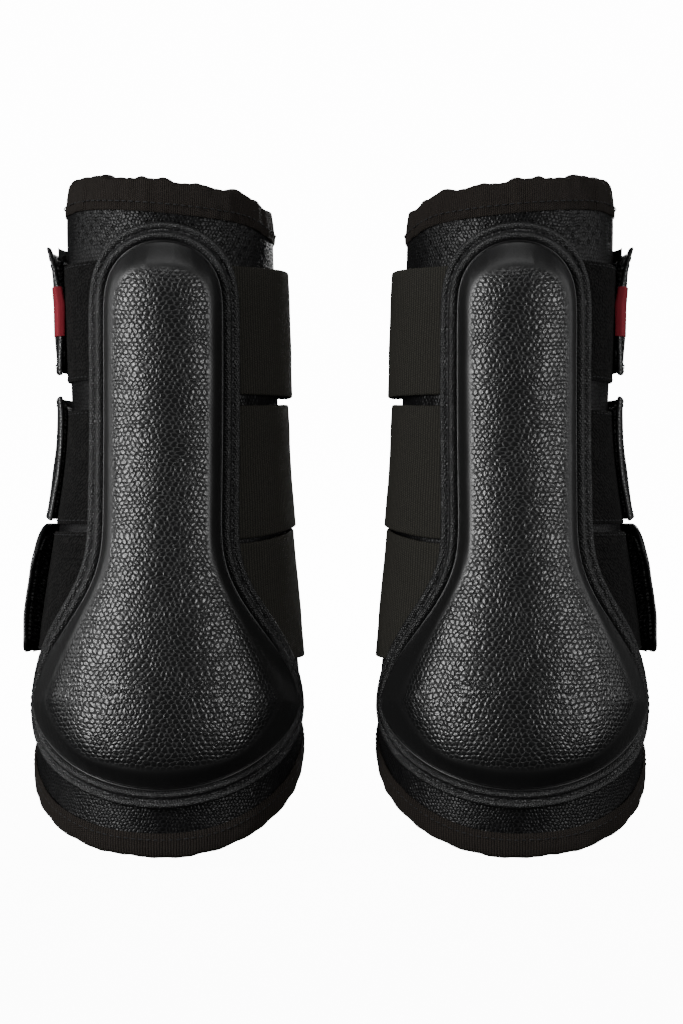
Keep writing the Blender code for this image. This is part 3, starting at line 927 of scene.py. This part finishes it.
def fold_profile(width, count=11):
    """The closed cross-section of a binding folded over the wall: offset out and height, upright."""
    outer, inner = TAPE, -WALL - 2 * GAP - TAPE
    turn = np.linspace(0, math.pi, count)
    middle, reach = (outer + inner) / 2, (outer - inner) / 2
    outside = [(outer - 0.25 * MM, -width), (outer, -width + 0.5 * MM), (outer + 0.45 * MM, -0.75 * width),
               (outer + 0.3 * MM, -0.6 * width), (outer + 0.42 * MM, -0.35 * width)]
    outside += [(middle + reach * math.cos(t), 2.1 * MM * math.sin(t) - 0.3 * MM) for t in turn]
    outside += [(inner - 0.3 * MM, -0.35 * width), (inner - 0.15 * MM, -0.6 * width),
                (inner - 0.3 * MM, -0.75 * width), (inner, -width + 0.5 * MM), (inner + 0.25 * MM, -width)]
    inside = []
    for out, rise in reversed(outside):
        pull = TAPE if rise < -0.3 * MM else TAPE * 0.9
        moved = out - pull if out > middle else out + pull
        inside.append((moved, min(rise, -0.9 * MM) if rise > -1.2 * MM else rise))
    return np.array(outside + inside)


def binding(name, side, part, width, at_top, wave, material):
    start, end = wall_span(part)
    across = np.arange(start, end, 0.9)
    across = np.append(across, end)
    profile = fold_profile(width)
    angle = rows_of(across, profile)
    s = np.radians(angle) * (MEAN_RADIUS / MM)
    out = profile[:, :1] + 0 * angle
    rise = profile[:, 1:] + 0 * angle
    seed = 41 if at_top else 47
    ripple = wave * (0.8 * noise(seed, s / 5.6, s * 0) + 0.35 * noise(seed + 1, s / 2.9, s * 0))
    high = smooth(1 + rise / (0.6 * width))
    outside = (np.arange(len(profile)) < len(profile) // 2)[:, None]
    face = np.where(profile[:, :1] > -WALL / 2, 1, -1)
    rumple = 0.45 * wave * noise(seed + 2, s / 4.1, rise / (9 * MM))
    out = out + np.where(outside, 1, 0.6) * face * rumple
    rise = rise + ripple * high
    length_along = lengths_along(profile)
    uv = np.stack([s * MM, length_along[:, None] + 0 * angle], -1)
    if at_top:
        z = leather_top(angle) + GAP + rise
        out = out + lean_in(angle, z)
        return lay_tube(name, side, angle, z, out, uv, material)
    z = leather_low(angle) - (GAP + rise) * low_edge_stretch(angle)
    return lay_tube(name, side, angle[::-1], z[::-1], out[::-1], uv[::-1], material)


def seam_tape(name, side, part, material):
    """The tape folded over a back edge, upright from the bottom binding to the top one."""
    start, end = wall_span(part)
    edge, toward = (start, -1) if part == "core" else (end, 1)
    low = leather_low(edge) + (LOW_TAPE_WIDTH + 1.5 * MM) * low_edge_stretch(edge)
    high = leather_top(edge) - TOP_TAPE_WIDTH - 1.5 * MM
    heights = np.linspace(low, high, 130)
    profile = fold_profile(SEAM_TAPE_WIDTH, 9)
    profile[:, 1] = np.where(profile[:, 1] > 0, profile[:, 1] * 0.5, profile[:, 1])
    out = np.broadcast_to(profile[:, :1], (len(profile), len(heights))).copy()
    run = profile[:, 1:] + 0 * out
    z = np.broadcast_to(heights, out.shape)
    out += 0.12 * MM * noise(53, z / (4 * MM), run / (3 * MM))
    angle = edge + toward * degrees_of(GAP + run, z)
    length_along = lengths_along(profile)
    uv = np.stack([z, length_along[:, None] + 0 * out], -1)
    if toward > 0:
        angle, z, out, uv = angle[::-1], z[::-1], out[::-1], uv[::-1]
    return lay_tube(name, side, angle, z, out, uv, material)


class BOOTS_OT_bindings(bpy.types.Operator):
    """Builds the ribbed tapes on the top, bottom and back edges"""

    bl_idname = "boots.bindings"
    bl_label = "Edge bindings"

    def execute(self, context):
        scallop = context.scene.boot_sizes.scallop
        tape = material_for(context, "tape")
        for word, side, part, prefix, hold in walls():
            top = binding(f"{word}_{prefix}top_tape", side, part, TOP_TAPE_WIDTH, True, scallop, tape)
            low = binding(f"{word}_{prefix}bottom_tape", side, part, LOW_TAPE_WIDTH, False,
                          0.45 * scallop, tape)
            seam = seam_tape(f"{word}_{prefix}seam_tape", side, part, tape)
            for obj, node in ((top, "top_binding"), (low, "bottom_binding"), (seam, "seam_binding")):
                hold(obj, word, prefix + node)
        return {"FINISHED"}


# ---- strike pad ----


def pad_outline(count=720):
    """The pad's outline laid flat: distance round from its middle and height, a smoothed closed line."""
    v = np.linspace(0, 1, 400)
    u = np.linspace(-1, 1, 400)
    side_z = mix(PAD_CORNER, PAD_TOP - PAD_HALF_WIDTH + PAD_LIFT, v)
    right = np.stack([np.radians(pad_half_angle(side_z)) * half_width(side_z), side_z], -1)
    crown = np.linspace(0, math.pi, 300)
    top_z = PAD_TOP - PAD_HALF_WIDTH + PAD_LIFT
    reach = right[-1, 0]
    arch = np.stack([reach * np.cos(crown), top_z + PAD_HALF_WIDTH * np.sin(crown)], -1)
    low_z = mix(PAD_CORNER, PAD_LOW, 1 - np.abs(u) ** 1.95)
    foot = np.stack([u * np.radians(pad_half_angle(PAD_CORNER)) * half_width(low_z), low_z], -1)
    left = right[::-1] * (-1, 1)
    line = np.concatenate([right[:-1], arch[:-1], left[:-1], foot[:-1]])
    for _ in range(2):
        line = resample(line, count)
        for _ in range(60):
            line = 0.5 * line + 0.25 * (np.roll(line, 1, 0) + np.roll(line, -1, 0))
    line = resample(line, count)
    return 0.5 * (line + (line[::-1] * (-1, 1))[mirror_order(line)])


def resample(line, count):
    closed = np.concatenate([line, line[:1]])
    along = lengths_along(closed)
    places = np.linspace(0, along[-1], count + 1)[:-1]
    return np.stack([np.interp(places, along, closed[:, i]) for i in (0, 1)], -1)


def mirror_order(line):
    """For each point, the index in the reversed, mirrored line of the point nearest to it."""
    other = line[::-1] * (-1, 1)
    gap = ((line[:, None] - other[None]) ** 2).sum(-1)
    return gap.argmin(1)


def distance_in(points, line):
    result = np.empty(len(points))
    for start in range(0, len(points), 2000):
        part = points[start:start + 2000]
        result[start:start + 2000] = np.sqrt(((part[:, None] - line[None]) ** 2).sum(-1).min(1))
    return result


def pad_rings(line):
    """Rings of places from the outline in to the pad's spine, as (rings, points, 2)."""
    ahead = np.roll(line, -2, 0) - np.roll(line, 2, 0)
    inward = np.stack([-ahead[:, 1], ahead[:, 0]], -1)
    inward /= np.linalg.norm(inward, axis=1, keepdims=True)
    for _ in range(12):
        inward = 0.5 * inward + 0.25 * (np.roll(inward, 1, 0) + np.roll(inward, -1, 0))
    inward /= np.linalg.norm(inward, axis=1, keepdims=True)
    height = np.clip(line[:, 1], 70 * MM, PAD_TOP - PAD_HALF_WIDTH - 4 * MM)
    spine = np.stack([0 * line[:, 0], height], -1)
    rings = [line + inward * d for d in np.linspace(0, PAD_NEAR, RIM_RINGS + 1)]
    start = line + inward * PAD_NEAR
    reach = np.linalg.norm(spine - start, axis=1, keepdims=True)
    bend = start + inward * 0.4 * reach
    for t in np.linspace(0, 1, 40)[1:] ** 1.15:
        rings.append((1 - t) ** 2 * start + 2 * t * (1 - t) * bend + t * t * spine)
    return np.stack(rings)


PAD_NEAR = 9 * MM  # how far in the even rings of the rim reach
RIM_RINGS = 26  # rings of the rim piece; the cover starts a few rings before it ends
RIM_INSET = 7.6 * MM  # how far in the beads end
GROOVE_INSET = 3.65 * MM  # from the edge in to the sewn groove between the beads
GROOVE_FLOOR = 3.85 * MM  # height of its stitches over the leather
CROWN_RISE = 2.2  # millimetres from the shoulder of the cushion up to its middle
RIM = np.array([  # distance in from the edge and height over the leather, in millimetres
    (0.0, 2.95), (0.12, 3.7), (0.4, 4.35), (0.9, 4.9), (1.5, 5.1), (2.2, 4.9), (2.9, 4.35), (3.35, 3.85),
    (3.65, 3.65), (4.0, 4.05), (4.5, 4.9), (5.1, 5.45), (5.7, 5.6), (6.4, 5.35), (7.0, 4.75), (7.45, 4.05),
    (7.8, 3.75)])


def pad_height(places, distance, sizes):
    """Height of the pad's face over the leather, and how much grain it shows."""
    d = distance / MM
    z = places[..., 1]
    top = smooth((z - (PAD_TOP - 34 * MM)) / (22 * MM)) * (1 - smooth(np.abs(places[..., 0]) / (26 * MM)))
    around = np.abs(np.degrees(places[..., 0] / half_width(z)))
    corner = smooth((around - 24) / 30) * smooth((PAD_NECK - z) / (40 * MM))
    foot = smooth((PAD_CORNER - z) / (24 * MM)) * (1 - corner)
    end = RIM[-1, 0] + (sizes.slope / MM) * (1 + 0.75 * top + 1.5 * corner + 0.35 * foot)
    bulge = sizes.bulge / MM * (1 - 0.42 * smooth((around - 34) / 38))
    shoulder = bulge - CROWN_RISE
    edge_height, (rim_end, foot_height) = RIM[0, 1], RIM[-1]
    rim = np.interp(d, RIM[:, 0], RIM[:, 1])
    rim = edge_height + (rim - edge_height) * (1 - 0.75 * smooth((around - 48) / 28))
    share = np.clip((d - rim_end) / (end - rim_end), 0, 1)
    climb = foot_height + (shoulder - foot_height) * np.sin(0.5 * math.pi * share) ** 1.25
    crown = shoulder + CROWN_RISE * (1 - np.exp(-np.clip(d - end, 0, None) / 7.5))
    height = np.where(d < rim_end, rim, np.where(d < end, climb, crown))
    cover = np.where(d < RIM_INSET / MM, 0.0, smooth((d - end + 1.5) / 3.0))
    return height * MM, cover


def lay_pad(name, side, rings, height, underside, material, cover, rim, closed_middle):
    """A pad piece from rings of flat places: its face, its underside, and the edges between them."""
    count, n = rings.shape[:2]
    z = rings[..., 1]
    angle = pad_middle(z) + np.degrees(rings[..., 0] / half_width(z))
    face = wrap(side, angle, z, height)
    under = wrap(side, angle, z, underside)
    ids = np.arange(count * n).reshape(count, n)
    ids = np.concatenate([ids, ids[:, :1]], 1)
    low = ids + count * n
    parts = [quads(ids), quads(low)[:, ::-1], quads(np.stack([low[0], ids[0]]))]
    if not closed_middle:
        parts.append(quads(np.stack([ids[-1], low[-1]])))
    points = np.concatenate([face.reshape(-1, 3), under.reshape(-1, 3)])
    flat = np.concatenate([rings.reshape(-1, 2)] * 2)
    masks = {"grain_cover": cover, "rim_grain": rim}
    masks = {key: np.concatenate([value.ravel()] * 2) for key, value in masks.items()}
    return new_piece(name, points, np.concatenate(parts), flat, material, side < 0, masks)


def close_spine(obj, distance):
    """Joins the two halves of a pad cover along its spine."""
    bm = bmesh.new()
    bm.from_mesh(obj.data)
    rim = [vert for vert in bm.verts if vert.is_boundary]
    bmesh.ops.remove_doubles(bm, verts=rim, dist=distance)
    bmesh.ops.dissolve_degenerate(bm, edges=bm.edges, dist=0.01 * MM)
    bm.to_mesh(obj.data)
    bm.free()
    obj.data.polygons.foreach_set("use_smooth", np.ones(len(obj.data.polygons), bool))


PAD_CACHE = {}


def pad_shape():
    if not PAD_CACHE:
        line = pad_outline()
        rings = pad_rings(line)
        PAD_CACHE["rings"] = rings
        PAD_CACHE["distance"] = distance_in(rings.reshape(-1, 2), line).reshape(rings.shape[:2])
    return PAD_CACHE["rings"], PAD_CACHE["distance"]


class BOOTS_OT_strike_pads(bpy.types.Operator):
    """Builds the beaded rims and the padded covers of the strike pads"""

    bl_idname = "boots.strike_pads"
    bl_label = "Strike pads"

    def execute(self, context):
        sizes = context.scene.boot_sizes
        leather = material_for(context, "pad")
        rings, distance = pad_shape()
        height, cover = pad_height(rings, distance, sizes)
        s, z = rings[..., 0], rings[..., 1]
        height = height + 0.06 * MM * noise(61, s / (2.2 * MM), z / (2.2 * MM)) * (distance < RIM_INSET)
        slope = (distance > 8 * MM) * (cover < 0.9)
        height = height + 0.1 * MM * slope * noise(67, s / (1.6 * MM), z / (9 * MM))
        beads = (distance < RIM_INSET) * 1.0
        under_rim = np.where(distance < 3.8 * MM, 2.75 * MM, 0.9 * MM)
        for word, side in SIDES.items():
            rim = lay_pad(word + "_pad_rim", side, rings[:RIM_RINGS], height[:RIM_RINGS],
                          under_rim[:RIM_RINGS], leather, cover[:RIM_RINGS], beads[:RIM_RINGS], False)
            on_core(rim, word, "strike_pad_base")
            first = RIM_RINGS - 4
            rise = height[first:] + np.where(distance[first:] < 7.9 * MM, -0.05 * MM, 0.0)
            under = np.minimum(rise - 0.3 * MM, 2.9 * MM)
            bulge = lay_pad(word + "_pad_cover_leather", side, rings[first:], rise, under, leather,
                            cover[first:], beads[first:], True)
            close_spine(bulge, 0.25 * MM)
            on_core(bulge, word, "pad_cover", "pad_cushion")
        return {"FINISHED"}


# ---- straps ----


class BOOTS_OT_straps(bpy.types.Operator):
    """Builds the elastic straps: the part sewn under the pad and the part that goes round"""

    bl_idname = "boots.straps"
    bl_label = "Elastic straps"

    def execute(self, context):
        elastic = material_for(context, "elastic")
        for strap in straps():
            self.root(*strap, elastic)
            self.band(*strap, elastic)
        return {"FINISHED"}

    def root(self, word, side, index, elastic):
        v = edged(0, 1, 0.05, 0.018)
        t = edged(0, 1, 0.025, 0.01)
        low, high = STRAP_BANDS[index]
        t = rows_of(t, v)
        toward_pad = 1 - smooth(t / 0.85)
        high = high - ROOT_DIPS[index] * toward_pad
        low = low - (0.85 * ROOT_DIPS[2] if index == 1 else 0) * toward_pad
        z = mix(low, high, v[:, None])
        angle = mix(pad_edge_angle(z, 1), FLAP_BEND_END, t)
        lift = STRAP_STANDS[index] * smooth((t - 0.05) / 0.6)
        edge = inset(v) * (high - low)
        half = STRAP_THICK / 2 * rounding(edge, 0.9 * MM)
        ends = np.minimum(t, 1 - t) * 40 * MM
        half = half * np.where(t < 0.5, 1, rounding(ends, 0.2 * MM))
        wave = 0.25 * MM * noise(71 + index, angle / 9, z / (11 * MM))
        out = STRAP_SIT + STRAP_THICK / 2 + lift + wave
        uv = strip_uv(angle, z, MEAN_RADIUS)
        obj = lay_sheet(f"{word}_strap_{index + 1}_root_webbing", side, angle, z, out, half, uv, elastic)
        on_flap(obj, word, f"strap_root_{index + 1}")

    def band(self, word, side, index, elastic):
        across = edged(FLAP_BEND_END, HOOK_END, 1.5, 0.3)
        v = edged(0, 1, 0.05, 0.018)
        angle = rows_of(across, v)
        z = strap_height(index, angle, v[:, None])
        edge = inset(v) * 0.054
        half = STRAP_THICK / 2 * rounding(edge, 0.9 * MM)
        wave = noise(81 + index, angle / 11, z / (15 * MM)) * smooth((angle - FLAP_BEND_END) / 6)
        free = smooth((196 - angle) / 10)
        out = strap_out(index, angle) + STRAP_THICK / 2 + 0.25 * MM * wave * free
        uv = strip_uv(angle, z, MEAN_RADIUS)
        obj = lay_sheet(f"{word}_strap_{index + 1}_webbing", side, angle, z, out, half, uv, elastic)
        start, end = fold_line(side, FLAP_BEND_END, STRAP_BEND_END)
        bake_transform(obj)
        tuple(start)
        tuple(end)
        replace(obj, word, [f"elastic_strap_{index + 1}"])


def tab_limits(index, angle):
    """Height on a tab, with the shape its maker cut at the free edge."""
    low, high = (strap_height(index, angle, x) for x in (0, 1))
    left = np.radians(TAB_END - angle) * half_width(high)  # to the free edge
    if index == 0:
        low = low - 1.6 * MM * smooth(1 - left / (9 * MM)) + 0.9 * MM * np.sin(left / (2.6 * MM))
        high = high - 2.5 * MM + 1.6 * MM * smooth(1 - left / (8 * MM))
    elif index == 1:
        low = low - 0.7 * MM * smooth(1 - left / (7 * MM))
        high = high + 0.9 * MM * smooth(1 - left / (7 * MM))
    else:
        reach = np.clip(1 - left / (15 * MM), 0, 1)
        high = high - 15 * MM * (1 - np.sqrt(1 - reach**2))
        reach = np.clip(1 - left / (7 * MM), 0, 1)
        low = low + 6 * MM * (1 - np.sqrt(1 - reach**2))
    return low, high


class BOOTS_OT_tabs(bpy.types.Operator):
    """Builds the leather tabs with their turned edges"""

    bl_idname = "boots.tabs"
    bl_label = "Leather tabs"

    def execute(self, context):
        leather = material_for(context, "tab")
        for word, side, index in straps():
            across = edged(TAB_START, TAB_END, 0.9, 0.9)
            v = edged(0, 1, 0.03, 0.02)
            angle = rows_of(across, v)
            low, high = tab_limits(index, angle)
            z = mix(low, high, v[:, None])
            edge = inset(v) * (high - low)
            to_end = np.radians(np.minimum(TAB_END - angle, angle - TAB_START)) * MEAN_RADIUS
            edge = np.minimum(edge, to_end)
            half = TAB_THICK / 2 * rounding(edge, 0.9 * MM)
            half = half + 0.28 * MM * np.exp(-((edge - 1.1 * MM) / (0.75 * MM)) ** 2)
            bow = 0.3 * MM * noise(91 + index, angle / 8, z / (12 * MM))
            out = tab_out(index, angle, v[:, None] + 0 * angle) + TAB_THICK / 2
            out = out + bow * smooth((angle - 250) / 12)
            obj = lay_sheet(f"{word}_tab_{index + 1}_leather", side, angle, z, out, half,
                            flat_uv(angle, z), leather)
            on_strap(obj, word, index, f"leather_tab_{index + 1}")
        return {"FINISHED"}


class BOOTS_OT_patches(bpy.types.Operator):
    """Builds the hook patches under the tabs and the landing patches on the shell"""

    bl_idname = "boots.patches"
    bl_label = "Hook and landing patches"

    def execute(self, context):
        pile, hooks = material_for(context, "loop"), material_for(context, "hook")
        for strap in straps():
            self.hook(*strap, hooks)
            self.landing(*strap, pile)
        return {"FINISHED"}

    def hook(self, word, side, index, hooks):
        across = edged(HOOK_START, HOOK_SHOWN_END, 0.9, 0.4)
        v = edged(0, 1, 0.03, 0.015)
        angle = rows_of(across, v)
        low, high = tab_limits(index, angle)
        low, high = low + HOOK_MARGIN, high - HOOK_MARGIN
        z = mix(low, high, v[:, None])
        edge = inset(v) * 0.045
        half = HOOK_THICK / 2 * rounding(edge, 0.5 * MM)
        half = half + 0.16 * MM * noise(131 + index, angle / 1.3, z / (1.1 * MM)) * (edge > 0.6 * MM)
        out = STRAP_SIT + LOOP_THICK + GAP + HOOK_THICK / 2 + 0 * angle
        share = v[:, None] * 0.86 + 0.07 + 0 * angle
        under = tab_out(index, angle, share) - GAP - HOOK_THICK / 2
        out = mix(out, under, smooth((angle - HOOK_END + 2) / 5))
        obj = lay_sheet(f"{word}_hooks_{index + 1}", side, angle, z, out, half, flat_uv(angle, z), hooks)
        on_strap(obj, word, index, f"hook_patch_{index + 1}")

    def landing(self, word, side, index, pile):
        v = edged(0, 1, 0.035, 0.018)
        t = edged(0, 1, 0.02, 0.01)
        low, high = STRAP_BANDS[index]
        climb = STRAP_CLIMBS[index] - LOOP_DROPS[index]
        z = mix(low + 1.6 * MM, high - 2.7 * MM, v)[:, None] + climb + 0 * t
        angle = mix(LOOP_START, 360 + pad_edge_angle(z, -1), t)
        edge = inset(v) * 0.05
        half = LOOP_THICK / 2 * rounding(edge, 0.8 * MM)
        half = half + 0.1 * MM * noise(101 + index, angle / 1.4, z / (1.1 * MM)) * (edge > 0.8 * MM)
        out = STRAP_SIT + LOOP_THICK / 2 + 0 * angle
        obj = lay_sheet(f"{word}_landing_pile_{index + 1}", side, angle, z, out, half,
                        flat_uv(angle, z), pile)
        on_core(obj, word, f"loop_patch_{index + 1}")


class BOOTS_OT_labels(bpy.types.Operator):
    """Builds the plain folded label on the top tab"""

    bl_idname = "boots.labels"
    bl_label = "Labels"

    def execute(self, context):
        cloth = material_for(context, "label")
        for word, side in SIDES.items():
            leg = degrees_of(LABEL_FOLD, 0.8 * BOOT_HEIGHT)
            start = TAB_END - leg
            inner, outer = -GAP - 0.25 * MM, TAB_THICK + GAP + 0.45 * MM
            path = [(start, inner), (start + 0.5 * leg, inner), (TAB_END - 0.3, inner)]
            turn = np.linspace(-0.5 * math.pi, 0.5 * math.pi, 9)
            middle, reach = (inner + outer) / 2, (outer - inner) / 2
            path += [(TAB_END + 0.75 * math.cos(x), middle + reach * math.sin(x)) for x in turn]
            path += [(TAB_END - 0.3, outer), (start + 0.5 * leg, outer), (start, outer)]
            path = np.array(path)
            v = edged(0, 1, 0.06, 0.012)
            angle = rows_of(path[:, 0], v)
            low, high = tab_limits(0, np.array([[TAB_END]]))
            centre = (low + high) / 2
            z = centre + LABEL_HEIGHT * (v[:, None] - 0.5) + 0 * angle
            share = (z - low) / (high - low)
            offset = tab_out(0, np.minimum(angle, TAB_END), share) + path[:, 1]
            edge = inset(v) * LABEL_HEIGHT
            half = 0.28 * MM * rounding(edge, 0.4 * MM) + 0 * angle
            along = lengths_along(path * (0.8 * MM, 1))
            uv = np.stack([z, along + 0 * angle], -1)
            obj = lay_sheet(word + "_label_cloth", side, angle, z, offset, half, uv, cloth)
            on_strap(obj, word, 0, "fabric_label")
        return {"FINISHED"}


# ---- stitching ----


def line_on(side, angle, z, out):
    points = wrap(side, angle, z, out)
    return points, wrap(side, angle, z, np.asarray(out) + MM) - points


class BOOTS_OT_stitching(bpy.types.Operator):
    """Sews the pad's groove, the bindings, the tabs and the landing patches"""

    bl_idname = "boots.stitching"
    bl_label = "Stitching"

    def execute(self, context):
        sizes = context.scene.boot_sizes
        black = material_for(context, "thread")
        size = (sizes.stitch_pitch, sizes.stitch, sizes.thread_width)
        rings, _ = pad_shape()
        groove = rings[round(GROOVE_INSET / (PAD_NEAR / RIM_RINGS))]
        groove = np.concatenate([groove, groove[:1]])
        groove_z = groove[:, 1]
        groove_angle = pad_middle(groove_z) + np.degrees(groove[:, 0] / half_width(groove_z))
        for word, side in SIDES.items():
            rows = []
            stitch_row(rows, *line_on(side, groove_angle, groove_z, GROOVE_FLOOR), *size)
            on_core(sew(word + "_pad_stitches", rows, black), word)
            for part, hold in (("core", on_core), ("flap", on_flap)):
                rows = []
                start, end = wall_span(part)
                angle = np.arange(start + 1, end - 1, 0.8)
                out = TAPE + 0.35 * MM
                z = leather_top(angle) + GAP - 0.7 * TOP_TAPE_WIDTH
                stitch_row(rows, *line_on(side, angle, z, out), *size)
                z = leather_low(angle) + (0.7 * LOW_TAPE_WIDTH - GAP) * low_edge_stretch(angle)
                stitch_row(rows, *line_on(side, angle, z, out), *size)
                edge, toward = (start, 1) if part == "core" else (end, -1)
                z = np.linspace(leather_low(edge) + 16 * MM, leather_top(edge) - 15 * MM, 60)
                angle = edge + toward * degrees_of(4.1 * MM, z)
                stitch_row(rows, *line_on(side, angle, z, out), *size)
                if part == "core":
                    self.landing_rows(side, rows, size)
                prefix = "" if part == "core" else "flap_"
                hold(sew(f"{word}_{prefix}edge_stitches", rows, black), word)
            for index in range(3):
                rows = []
                self.tab_rows(side, index, rows, size)
                on_strap(sew(f"{word}_tab_{index + 1}_stitches", rows, black), word, index)
        return {"FINISHED"}

    def landing_rows(self, side, rows, size):
        for index in range(3):
            low, high = STRAP_BANDS[index]
            climb = STRAP_CLIMBS[index] - LOOP_DROPS[index]
            for z in (low + 3.0 * MM + climb, high - 4.1 * MM + climb):
                angle = np.linspace(LOOP_START + 2, 360 + pad_edge_angle(z, -1) - 3, 80)
                stitch_row(rows, *line_on(side, angle, z + 0 * angle, STRAP_SIT + LOOP_THICK), *size)

    def tab_rows(self, side, index, rows, size):
        hem = 3.0 * MM
        angle = np.linspace(TAB_START + 2, TAB_END - degrees_of(hem, 0.2), 50)
        lift = TAB_THICK + 0.1 * MM

        def limits(a):
            low, high = tab_limits(index, a)
            return low + hem, high - hem

        low, high = limits(angle)
        if index == 2:
            far = limits(np.array([TAB_END - degrees_of(hem, 0.2)]))
            low, high = np.maximum(low, far[0][0] - 3 * MM), high
        end = angle[-1]
        down = np.linspace(high[-1], low[-1], 30)[1:-1]
        path_angle = np.concatenate([angle, np.full(len(down), end), angle[::-1]])
        path_z = np.concatenate([high, down, low[::-1]])
        edges = tab_limits(index, path_angle)
        out = tab_out(index, path_angle, (path_z - edges[0]) / (edges[1] - edges[0])) + lift
        stitch_row(rows, *line_on(side, path_angle, path_z, out), *size)


# ---- the stage ----


SOFT_BOXES = (  # name, place, the height it is turned to, width and height, watts
    ("key_light", (-1.1, -0.95, 0.34), 0.1, (0.26, 0.8), 28),
    ("fill_light", (1.15, -1.0, 0.22), 0.08, (0.22, 0.6), 12),
    ("top_light", (0, -0.6, 1.2), 0.2, (0.9, 0.3), 4),
    ("left_light", (-1.2, 0.1, 0.5), 0.14, (0.4, 0.9), 4),
    ("right_light", (1.2, 0.1, 0.5), 0.14, (0.4, 0.9), 3),
    ("back_light", (0.3, 1.3, 0.7), 0.14, (0.8, 0.6), 8),
)
WORLD_STRENGTH = 0.03
FLOOR_HEIGHT = -0.006
FLOOR_HALF_WIDTH = 4
WALL_START, WALL_BEND, WALL_HEIGHT = 1.0, 0.8, 3.5  # the floor bends up behind the boots into a wall
LENS, SENSOR_WIDTH = 82, 36
CAMERA_PLACE = (0.0006, -1.0, 0.14)


def soft_box(name, place, aim_height, size, power):
    light = bpy.data.lights.new(name, "AREA")
    light.shape = "RECTANGLE"
    light.size, light.size_y = size
    light.energy = power
    obj = bpy.data.objects.new(name, light)
    obj.location = place
    obj.rotation_euler = (Vector((0, 0, aim_height)) - Vector(place)).to_track_quat("-Z", "Y").to_euler()
    bpy.context.scene.collection.objects.link(obj)


class BOOTS_OT_stage(bpy.types.Operator):
    """Lays the floor, hangs the lights and sets the camera"""

    bl_idname = "boots.stage"
    bl_label = "Stage"

    def execute(self, context):
        self.lay_floor(tuple(context.scene.boot_colours.floor_colour))
        for soft in SOFT_BOXES:
            soft_box(*soft)
        world = bpy.data.worlds.new("studio")
        world.use_nodes = True
        background = world.node_tree.nodes["Background"].inputs
        background["Color"].default_value = (1, 1, 1, 1)
        background["Strength"].default_value = WORLD_STRENGTH
        context.scene.world = world
        data = bpy.data.cameras.new("camera")
        data.lens = LENS
        data.sensor_width = SENSOR_WIDTH
        camera = bpy.data.objects.new("camera", data)
        camera.location = CAMERA_PLACE
        camera.rotation_euler = (math.pi / 2, 0, 0)
        context.scene.collection.objects.link(camera)
        context.scene.camera = camera
        return {"FINISHED"}

    def lay_floor(self, colour):
        path = [(y, FLOOR_HEIGHT) for y in (-3.0, -1.0, -0.5, 0.0, 0.5, WALL_START)]
        for turn in np.linspace(0, math.pi / 2, 16)[1:]:
            rise = WALL_BEND * (1 - math.cos(turn))
            path.append((WALL_START + WALL_BEND * math.sin(turn), FLOOR_HEIGHT + rise))
        path.append((WALL_START + WALL_BEND, WALL_HEIGHT))
        path = np.array(path)
        x = rows_of(np.linspace(-FLOOR_HALF_WIDTH, FLOOR_HALF_WIDTH, 9), path)
        points = np.stack([x, path[:, :1] + 0 * x, path[:, 1:] + 0 * x], -1)
        ids = np.arange(x.size).reshape(x.shape)
        run = lengths_along(path) + path[0, 0]
        uv = np.stack([x, run[:, None] + 0 * x], -1)
        floor = new_piece("studio_floor", points.reshape(-1, 3), quads(ids), uv.reshape(-1, 2),
                          pale_floor(colour), False)
        floor.visible_glossy = False  # its glow is for the eye, and the boots are lit by the soft boxes
        floor.visible_diffuse = False


OPERATORS = (
    BOOTS_OT_shells,
    BOOTS_OT_linings,
    BOOTS_OT_bindings,
    BOOTS_OT_strike_pads,
    BOOTS_OT_straps,
    BOOTS_OT_tabs,
    BOOTS_OT_patches,
    BOOTS_OT_labels,
    BOOTS_OT_stitching,
    BOOTS_OT_stage,
)


class BOOTS_PT_panel(bpy.types.Panel):
    """Lists the sizes, colours and pieces of the boots"""

    bl_label = "Brushing Boots"
    bl_idname = "BOOTS_PT_panel"
    bl_space_type = "VIEW_3D"
    bl_region_type = "UI"
    bl_category = "Boots"

    def draw(self, context):
        for group in (context.scene.boot_sizes, context.scene.boot_colours):
            for key in group.__annotations__:
                self.layout.prop(group, key)
        for operator in OPERATORS:
            self.layout.operator(operator.bl_idname)


CLASSES = (BootSizes, BootColours, *OPERATORS, BOOTS_PT_panel)


def register():
    for cls in CLASSES:
        bpy.utils.register_class(cls)
    bpy.types.Scene.boot_sizes = PointerProperty(type=BootSizes)
    bpy.types.Scene.boot_colours = PointerProperty(type=BootColours)


def unregister():
    del bpy.types.Scene.boot_colours
    del bpy.types.Scene.boot_sizes
    for cls in reversed(CLASSES):
        bpy.utils.unregister_class(cls)


def main():
    register()
    for operator in OPERATORS:
        family, action = operator.bl_idname.split(".")
        getattr(getattr(bpy.ops, family), action)()


if __name__ == "__main__":
    main()
